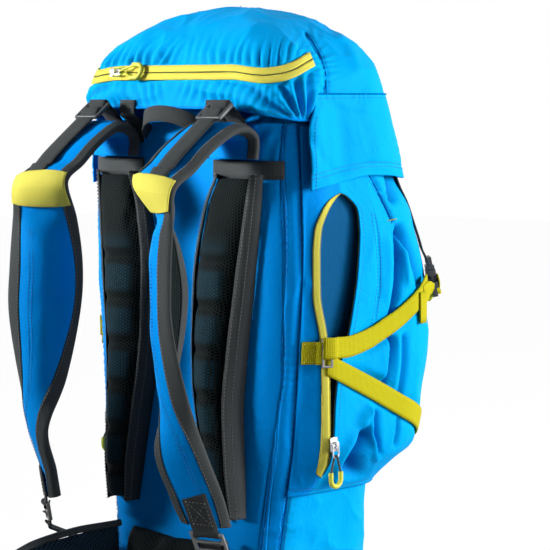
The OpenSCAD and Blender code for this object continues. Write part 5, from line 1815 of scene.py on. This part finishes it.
@dataclass
class Padding:
    """Mesh pads on the back and the hip belt, swelled by a cloth simulation."""

    kit: Kit
    voxel_mm: float = 5.0
    pressure: float = 4.0
    frames: int = 20
    pad_low: float = 117.0
    pad_top: float = 455.0
    pad_height: float = 30.0
    channel_pitch: float = 44.0
    belt_low: float = 22.0
    belt_height: float = 70.0
    lumbar_half: float = 66.0
    wing_root: float = -82.3
    wing_length: float = 150.0
    wing_x: float = 76.0
    out: Profile = Profile([(118, 94), (160, 93), (219, 91), (286, 97), (344, 105), (430, 115), (452, 117)])
    inn: Profile = Profile([(118, 60), (190, 46), (219, 40), (255, 33), (300, 29), (350, 29), (420, 41), (452, 56)])
    rise: Profile = Profile([(118, .75), (170, 1), (219, 1), (290, .85), (345, .72), (452, .42)])
    crown: Profile = Profile([(0, .3), (.1, .68), (.3, .95), (.5, 1), (.7, .95), (.9, .68), (1, .3)])

    def swell(self, ob: bpy.types.Object, cap_mm: float, shrink_mm: float = 2.0) -> None:
        """Remesh a closed pad and let pressure round it.

        Args:
            ob: the pad.
            cap_mm: furthest that a point may move.
            shrink_mm: how much smaller the pad starts.
        """
        mod = ob.modifiers.new("Even", "REMESH")
        mod.mode, mod.voxel_size = "VOXEL", self.voxel_mm * MM
        bake(ob)
        start = coords(ob)
        n = vertex_normals(ob)
        set_coords(ob, start - n * shrink_mm * MM)
        cloth = ob.modifiers.new("Swell", "CLOTH")
        cloth.settings.use_pressure = True
        cloth.settings.uniform_pressure_force = self.pressure
        cloth.settings.effector_weights.gravity = 0
        cloth.settings.quality = 5
        cloth.point_cache.frame_start, cloth.point_cache.frame_end = 1, self.frames
        scene = bpy.context.scene
        for k in range(1, self.frames + 1):
            scene.frame_set(k)
        graph = bpy.context.evaluated_depsgraph_get()
        ev = ob.evaluated_get(graph)
        moved = np.zeros(len(ev.data.vertices) * 3)
        ev.data.vertices.foreach_get("co", moved)
        ob.modifiers.clear()
        scene.frame_set(1)
        step = moved.reshape(-1, 3) - start
        far = np.maximum(np.linalg.norm(step, axis=1, keepdims=True), 1e-9)
        set_coords(ob, start + step * np.minimum(1, cap_mm * MM / far))
        mod = ob.modifiers.new("Round", "SUBSURF")
        mod.levels = mod.render_levels = 1
        bake(ob)

    def lay_cloth(self, ob: bpy.types.Object, across: int, along: int) -> None:
        """Give a pad the cloth place of its points, read along two axes."""
        write_uv(ob.data, coords(ob)[:, [across, along]])
        smooth_faces(ob.data)

    def back_grid(self, tt: Array, zz: Array, off: float) -> Array:
        """Face of the left back pad at share t across and height z."""
        x = self.inn(zz) + (self.out(zz) - self.inn(zz)) * tt
        y = BACK_Y - GAP - self.pad_height * self.rise(zz) * self.crown(tt)
        return stack(x, y - off, zz)

    def back_pad(self, s: Side) -> None:
        """One back pad with channels, bound edge and top strip.

        Args:
            s: side of the wearer.
        """
        kit, f = self.kit, self.kit.finish
        tt, zz = np.meshgrid(np.linspace(1, 0, 25), np.linspace(self.pad_low, self.pad_top, 84))
        face = Patch(self.back_grid(tt, zz, 0.0))
        low = face.pts.copy()
        low[..., 1] = BACK_Y - GAP - 0.2
        ob = closed_slab("back_pad_net_" + s.tag, face.pts, low, f.net, s)
        self.swell(ob, 7.0)
        co = coords(ob)
        z = co[:, 2] / MM
        t = (np.abs(co[:, 0]) / MM - self.inn(z)) / (self.out(z) - self.inn(z))
        turns = (z - 150) / self.channel_pitch
        step = np.abs(turns - np.round(turns)) * self.channel_pitch
        front = smooth((BACK_Y - 4 - co[:, 1] / MM) / 8)
        channel = 2.6 * np.exp(-(step / 4.5) ** 2) * smooth(t / 0.2) * smooth((1 - t) / 0.2) * smooth((420 - z) / 60)
        co[:, 1] += channel * front * MM
        co[:, 1] = np.minimum(co[:, 1], (BACK_Y - 0.35) * MM)
        set_coords(ob, co)
        self.lay_cloth(ob, 0, 2)
        block = smooth((step - 6) / 6) * smooth((t - 0.2) / 0.12) * smooth((0.78 - t) / 0.12) * smooth((400 - z) / 30)
        mark_foam_and_fold_shade(ob, block)
        kit.place(ob, "pack", Slot.MESH, "back_pad_" + s.tag)
        z = np.linspace(self.pad_low, self.pad_top, 110)
        ring = []
        for t0, t1 in ((-0.02, 0.13), (1.02, 0.86)):
            cols = []
            for q in np.linspace(0, 1, 6):
                t = t0 + (t1 - t0) * q
                rise = self.back_grid(np.full_like(z, np.clip(t, 0, 1)), z, 1.5)
                rise[:, 0] = self.inn(z) + (self.out(z) - self.inn(z)) * t
                if q == 0:
                    rise[:, 1] = BACK_Y - GAP - 1.0
                cols.append(rise)
            g = np.stack(cols, 1)
            p = Patch(g[:, ::-1].copy() if t0 > 0.5 else g)
            ring.append(s.patch(p).shell("bind", f.binding, 0.9))
        kit.place(joined("pad_binding_" + s.tag, ring), "pack", Slot.GREY)
        lines = []
        for t in (0.03, 0.1, 0.9, 0.97):
            line = self.back_grid(np.full_like(z, t), z, 2.6)
            lines.append(s.turn(line))
        kit.sew("pad_stitches_" + s.tag, lines, f.grey_thread, Slot.GREY)
        u = np.linspace(0.5, 1.5, 40)
        strip = bag_pt(u, np.full(40, 459.5), 1.6)
        kit.place(webbing("pad_strip_" + s.tag, s.turn(strip), (0, 0, 1), 18, f.binding), "pack", Slot.GREY,
                  *s.once("pad_strips"))

    def belt(self) -> None:
        """Lumbar pad and the two wings."""
        kit, f = self.kit, self.kit.finish
        x, k = np.meshgrid(np.linspace(self.lumbar_half, -self.lumbar_half, 40), np.linspace(0, 1, 24))
        edge = Profile([(0, .45), (.12, .85), (.5, 1), (.88, .85), (1, .45)])
        side = Profile([(0, 1), (.3, .92), (.58, 1), (.88, .9), (1, .55)])
        face = stack(x, BACK_Y - GAP - 26 * edge(k) * side(np.abs(x) / self.lumbar_half),
                     self.belt_low + self.belt_height * k)
        low = face.copy()
        low[..., 1] = -75.5
        pad = closed_slab("lumbar_net", face, low, f.net, Side.LEFT)
        self.swell(pad, 6.0)
        co = coords(pad)
        co[:, 1] = np.minimum(co[:, 1], -0.07535)
        set_coords(pad, co)
        self.lay_cloth(pad, 0, 2)
        kit.place(pad, "pack", Slot.MESH, "lumbar_pad")
        out = Profile([(0, 0), (.15, 2.5), (.4, 8), (.7, 10), (1, 5)])
        tall = Profile([(0, 1), (.3, .95), (.7, .75), (1, .5)])
        puff = Profile([(0, .45), (.15, .9), (.5, 1), (.85, .9), (1, .45)])

        def middle(run: Array, up: Array | float, off: Array | float = 0.0) -> Array:
            """Point of the wing's middle face at shares of its length and height."""
            return stack(self.wing_x + out(run) * 1.5 + off, self.wing_root - run * self.wing_length,
                         self.belt_low + self.belt_height * (0.5 + (up - 0.5) * tall(run)))

        ll, hh = np.meshgrid(np.linspace(0.035, 1, 50), np.linspace(0, 1, 22))
        for s in Side:
            o, i = (middle(ll, hh, side * 7 * puff(hh))[:, ::-1] for side in (1, -1))
            wing = closed_slab("wing_net_" + s.tag, o, i, f.blue_net, s)
            self.swell(wing, 3.0, 1.0)
            self.lay_cloth(wing, 1, 2)
            kit.place(wing, "wing_" + s.tag, Slot.MESH, "hip_wing_" + s.tag)
            along = np.linspace(0.035, 0.995, 60)
            rim = []
            for h in (0, 1):
                rim.append(tube("rim", s.turn(middle(along, h)), 3.6, f.binding))
            kit.place(joined("wing_binding_" + s.tag, rim), "wing_" + s.tag, Slot.GREY)
            tip = np.array([83.5 * s.value, self.wing_root - self.wing_length, self.belt_low + self.belt_height / 2])
            path = tip + np.linspace(4, -36, 20)[:, None] * [[0, 1, 0]]
            kit.place(webbing("hip_web_" + s.tag, path, (0, 0, 1), 20, f.grey), "wing_" + s.tag, Slot.GREY,
                      "hip_webbing_" + s.tag)
        kit.soften("hip_buckle_female", "wing_left", Slot.BUCKLE, f.plastic, 1.0)
        kit.soften("hip_buckle_male", "wing_right", Slot.BUCKLE, f.plastic, 0.8)

    def build(self) -> None:
        """Make the pads and the belt."""
        for s in Side:
            self.back_pad(s)
        self.belt()


def closed_slab(name: str, top: Array, low: Array, mat: bpy.types.Material, s: Side) -> bpy.types.Object:
    """Closed solid between two grids.

    Args:
        name: piece name.
        top: grid of the outer face.
        low: grid of the inner face.
        mat: finish.
        s: side of the wearer.
    Returns:
        The new object with outward faces.
    """
    rows, cols = top.shape[:2]
    n = rows * cols
    pts = s.turn(np.concatenate([top.reshape(-1, 3), low.reshape(-1, 3)]))
    faces = []
    for r in range(rows - 1):
        for c in range(cols - 1):
            q = [r * cols + c, r * cols + c + 1, (r + 1) * cols + c + 1, (r + 1) * cols + c]
            faces += [q, [v + n for v in q[::-1]]]
    rim = list(range(cols)) + [r * cols + cols - 1 for r in range(1, rows)]
    rim += [(rows - 1) * cols + c for c in range(cols - 2, -1, -1)] + [r * cols for r in range(rows - 2, 0, -1)]
    for k, v in enumerate(rim):
        w = rim[(k + 1) % len(rim)]
        faces.append([v, v + n, w + n, w])
    ob = mesh_object(name, pts, faces, None, [mat])
    fix_normals(ob)
    return ob


def mark_foam_and_fold_shade(ob: bpy.types.Object, share: Array) -> None:
    """Write at each point how far a finish turns to its second colour: foam seen through a net, and painted shade in
    the folds of cloth.
    """
    ob.data.attributes.new("Foam", "FLOAT", "POINT").data.foreach_set("value", share.astype(np.float32))


def coords(ob: bpy.types.Object) -> Array:
    """Vertex places of an object, in metres."""
    out = np.zeros(len(ob.data.vertices) * 3)
    ob.data.vertices.foreach_get("co", out)
    return out.reshape(-1, 3)


def set_coords(ob: bpy.types.Object, co: Array) -> None:
    """Give an object new vertex places."""
    ob.data.vertices.foreach_set("co", co.reshape(-1))
    ob.data.update()


def vertex_normals(ob: bpy.types.Object) -> Array:
    """Vertex normals of an object."""
    out = np.zeros(len(ob.data.vertices) * 3)
    ob.data.vertex_normals.foreach_get("vector", out)
    return out.reshape(-1, 3)


@dataclass
class InnerFrame:
    """Frame sheet, stays and their sleeve inside the back."""

    kit: Kit

    def build(self) -> None:
        """Dress the stiff pieces and lay the sleeve cloth."""
        f = self.kit.finish
        for node, mat in (("frame_sheet", f.plastic), ("frame_stays", f.steel)):
            self.kit.dress(node, mat)
        lo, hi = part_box("frame_sleeve")
        z = np.linspace(lo[2] / MM, hi[2] / MM, 60)
        half = Profile([(10, 60), (60, 72), (190, 88), (392, 101), (498, 96.5)])
        tt, zz = np.meshgrid(np.linspace(-1, 1, 40), z)
        y = np.full_like(zz, lo[1] / MM + 0.9)
        p = Patch(stack(-tt * half(zz), y, zz))
        p.push(0.3 * crumple(p.pts, (60, 60, 60), 1.0, 51.0))
        ob = p.shell("sleeve_cloth", f.lining, 0.7)
        self.kit.place(ob, "pack", Slot.LINING, "frame_sleeve")


@dataclass
class Studio:
    """Floor, lamps, world and camera."""

    floor_half: float = 6.0
    tint: tuple[float, float, float] = (1.0, 1.0, 0.96)

    def camera(self) -> None:
        """Camera at the main view, turned to face the aim point of its frame."""
        data = bpy.data.cameras.new("main_camera")
        cam = linked("main_camera", data)
        data.sensor_width = 36.0
        data.lens = TURNED_LENS * FOCAL_PX / FRAME_PX * data.sensor_width
        d = EYE_R * DIAG * MM
        cam.location = (d, -d, EYE_Z * MM)
        pitch = math.atan2(AIM_PX[1] - HORIZON_PX, FOCAL_PX)
        turn = math.atan2(AIM_PX[0] - AXIS_PX, FOCAL_PX)
        cam.rotation_euler = (math.pi / 2 - pitch, 0, math.radians(45) - turn)
        data.clip_start, data.clip_end = 0.05, 60
        bpy.context.scene.camera = cam

    def lamp(self, name: str, place: Sequence[float], size: float, watts: float, aim_z: float = 0.32,
             spread_deg: float = 180.0) -> None:
        """Soft square lamp aimed at the pack.

        Args:
            name: lamp name.
            place: position in metres.
            size: edge length in metres.
            watts: power.
            aim_z: height of the spot that it is aimed at.
            spread_deg: width of its beam.
        """
        data = bpy.data.lights.new(name, "AREA")
        data.size, data.energy, data.color = size, watts, self.tint
        data.spread = math.radians(spread_deg)
        ob = linked(name, data)
        ob.location = place
        ob.rotation_euler = (Vector((0, 0, aim_z)) - Vector(place)).to_track_quat("-Z", "Y").to_euler()

    def white(self, tree: bpy.types.NodeTree, out: bpy.types.NodeSocket, share: float,
              other: bpy.types.NodeSocket) -> None:
        """Show plain white to the camera and to reflections.

        Args:
            tree: node tree.
            out: shader socket to feed.
            share: share of white.
            other: shader seen by all other rays.
        """
        w = Wiring(tree)
        path = w.add("ShaderNodeLightPath")
        ray = w.math("MAXIMUM", path.outputs["Is Camera Ray"],
                     w.math("MAXIMUM", path.outputs["Is Glossy Ray"], path.outputs["Is Transmission Ray"]))
        glow = w.add("ShaderNodeEmission")
        glow.inputs[1].default_value = 1.0 if share == 1.0 else 1.2
        mix = w.add("ShaderNodeMixShader")
        w.feed(mix.inputs[0], w.math("MULTIPLY", ray, share))
        w.feed(mix.inputs[1], other)
        w.feed(mix.inputs[2], glow.outputs[0])
        w.feed(out, mix.outputs[0])

    def build(self) -> None:
        """Make the stage."""
        self.camera()
        h = self.floor_half
        me = bpy.data.meshes.new("studio_floor")
        me.from_pydata([(-h, -h, 0), (h, -h, 0), (h, h, 0), (-h, h, 0)], [], [(0, 1, 2, 3)])
        floor = linked("studio_floor", me)
        mat = bpy.data.materials.new("pale_floor")
        mat.use_nodes = True
        bsdf = mat.node_tree.nodes["Principled BSDF"]
        bsdf.inputs["Base Color"].default_value = (0.3, 0.3, 0.3, 1)
        bsdf.inputs["Roughness"].default_value = 0.9
        out = mat.node_tree.nodes["Material Output"]
        self.white(mat.node_tree, out.inputs[0], 0.8, bsdf.outputs[0])
        me.materials.append(mat)
        world = bpy.data.worlds.new("studio")
        world.use_nodes = True
        bg = world.node_tree.nodes["Background"]
        bg.inputs[0].default_value = (0.55, 0.76, 1.0, 1)
        bg.inputs[1].default_value = 0.085
        self.white(world.node_tree, world.node_tree.nodes["World Output"].inputs[0], 1.0, bg.outputs[0])
        bpy.context.scene.world = world
        self.lamp("key_lamp", (2.0, 1.4, 0.95), 1.1, 85)
        self.lamp("side_lamp", (2.4, 0.2, 0.35), 1.0, 15)
        self.lamp("left_lamp", (-1.6, -1.9, 1.1), 0.7, 3.0, 0.53, 17)
        self.lamp("top_lamp", (0.2, 0.1, 2.8), 1.4, 3)
        bpy.context.scene.view_settings.view_transform = "Standard"


def main() -> None:
    """Build the pack around its frame."""
    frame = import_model()
    Studio().build()
    kit = Kit(Palette(), SeamLines(), frame["nodes"])
    for part in (BagBody, Hood, FrontPocket, SideStraps, Harness, Padding, InnerFrame):
        LOG.info("building %s", part.__name__)
        part(kit).build()


if __name__ == "__main__":
    main()
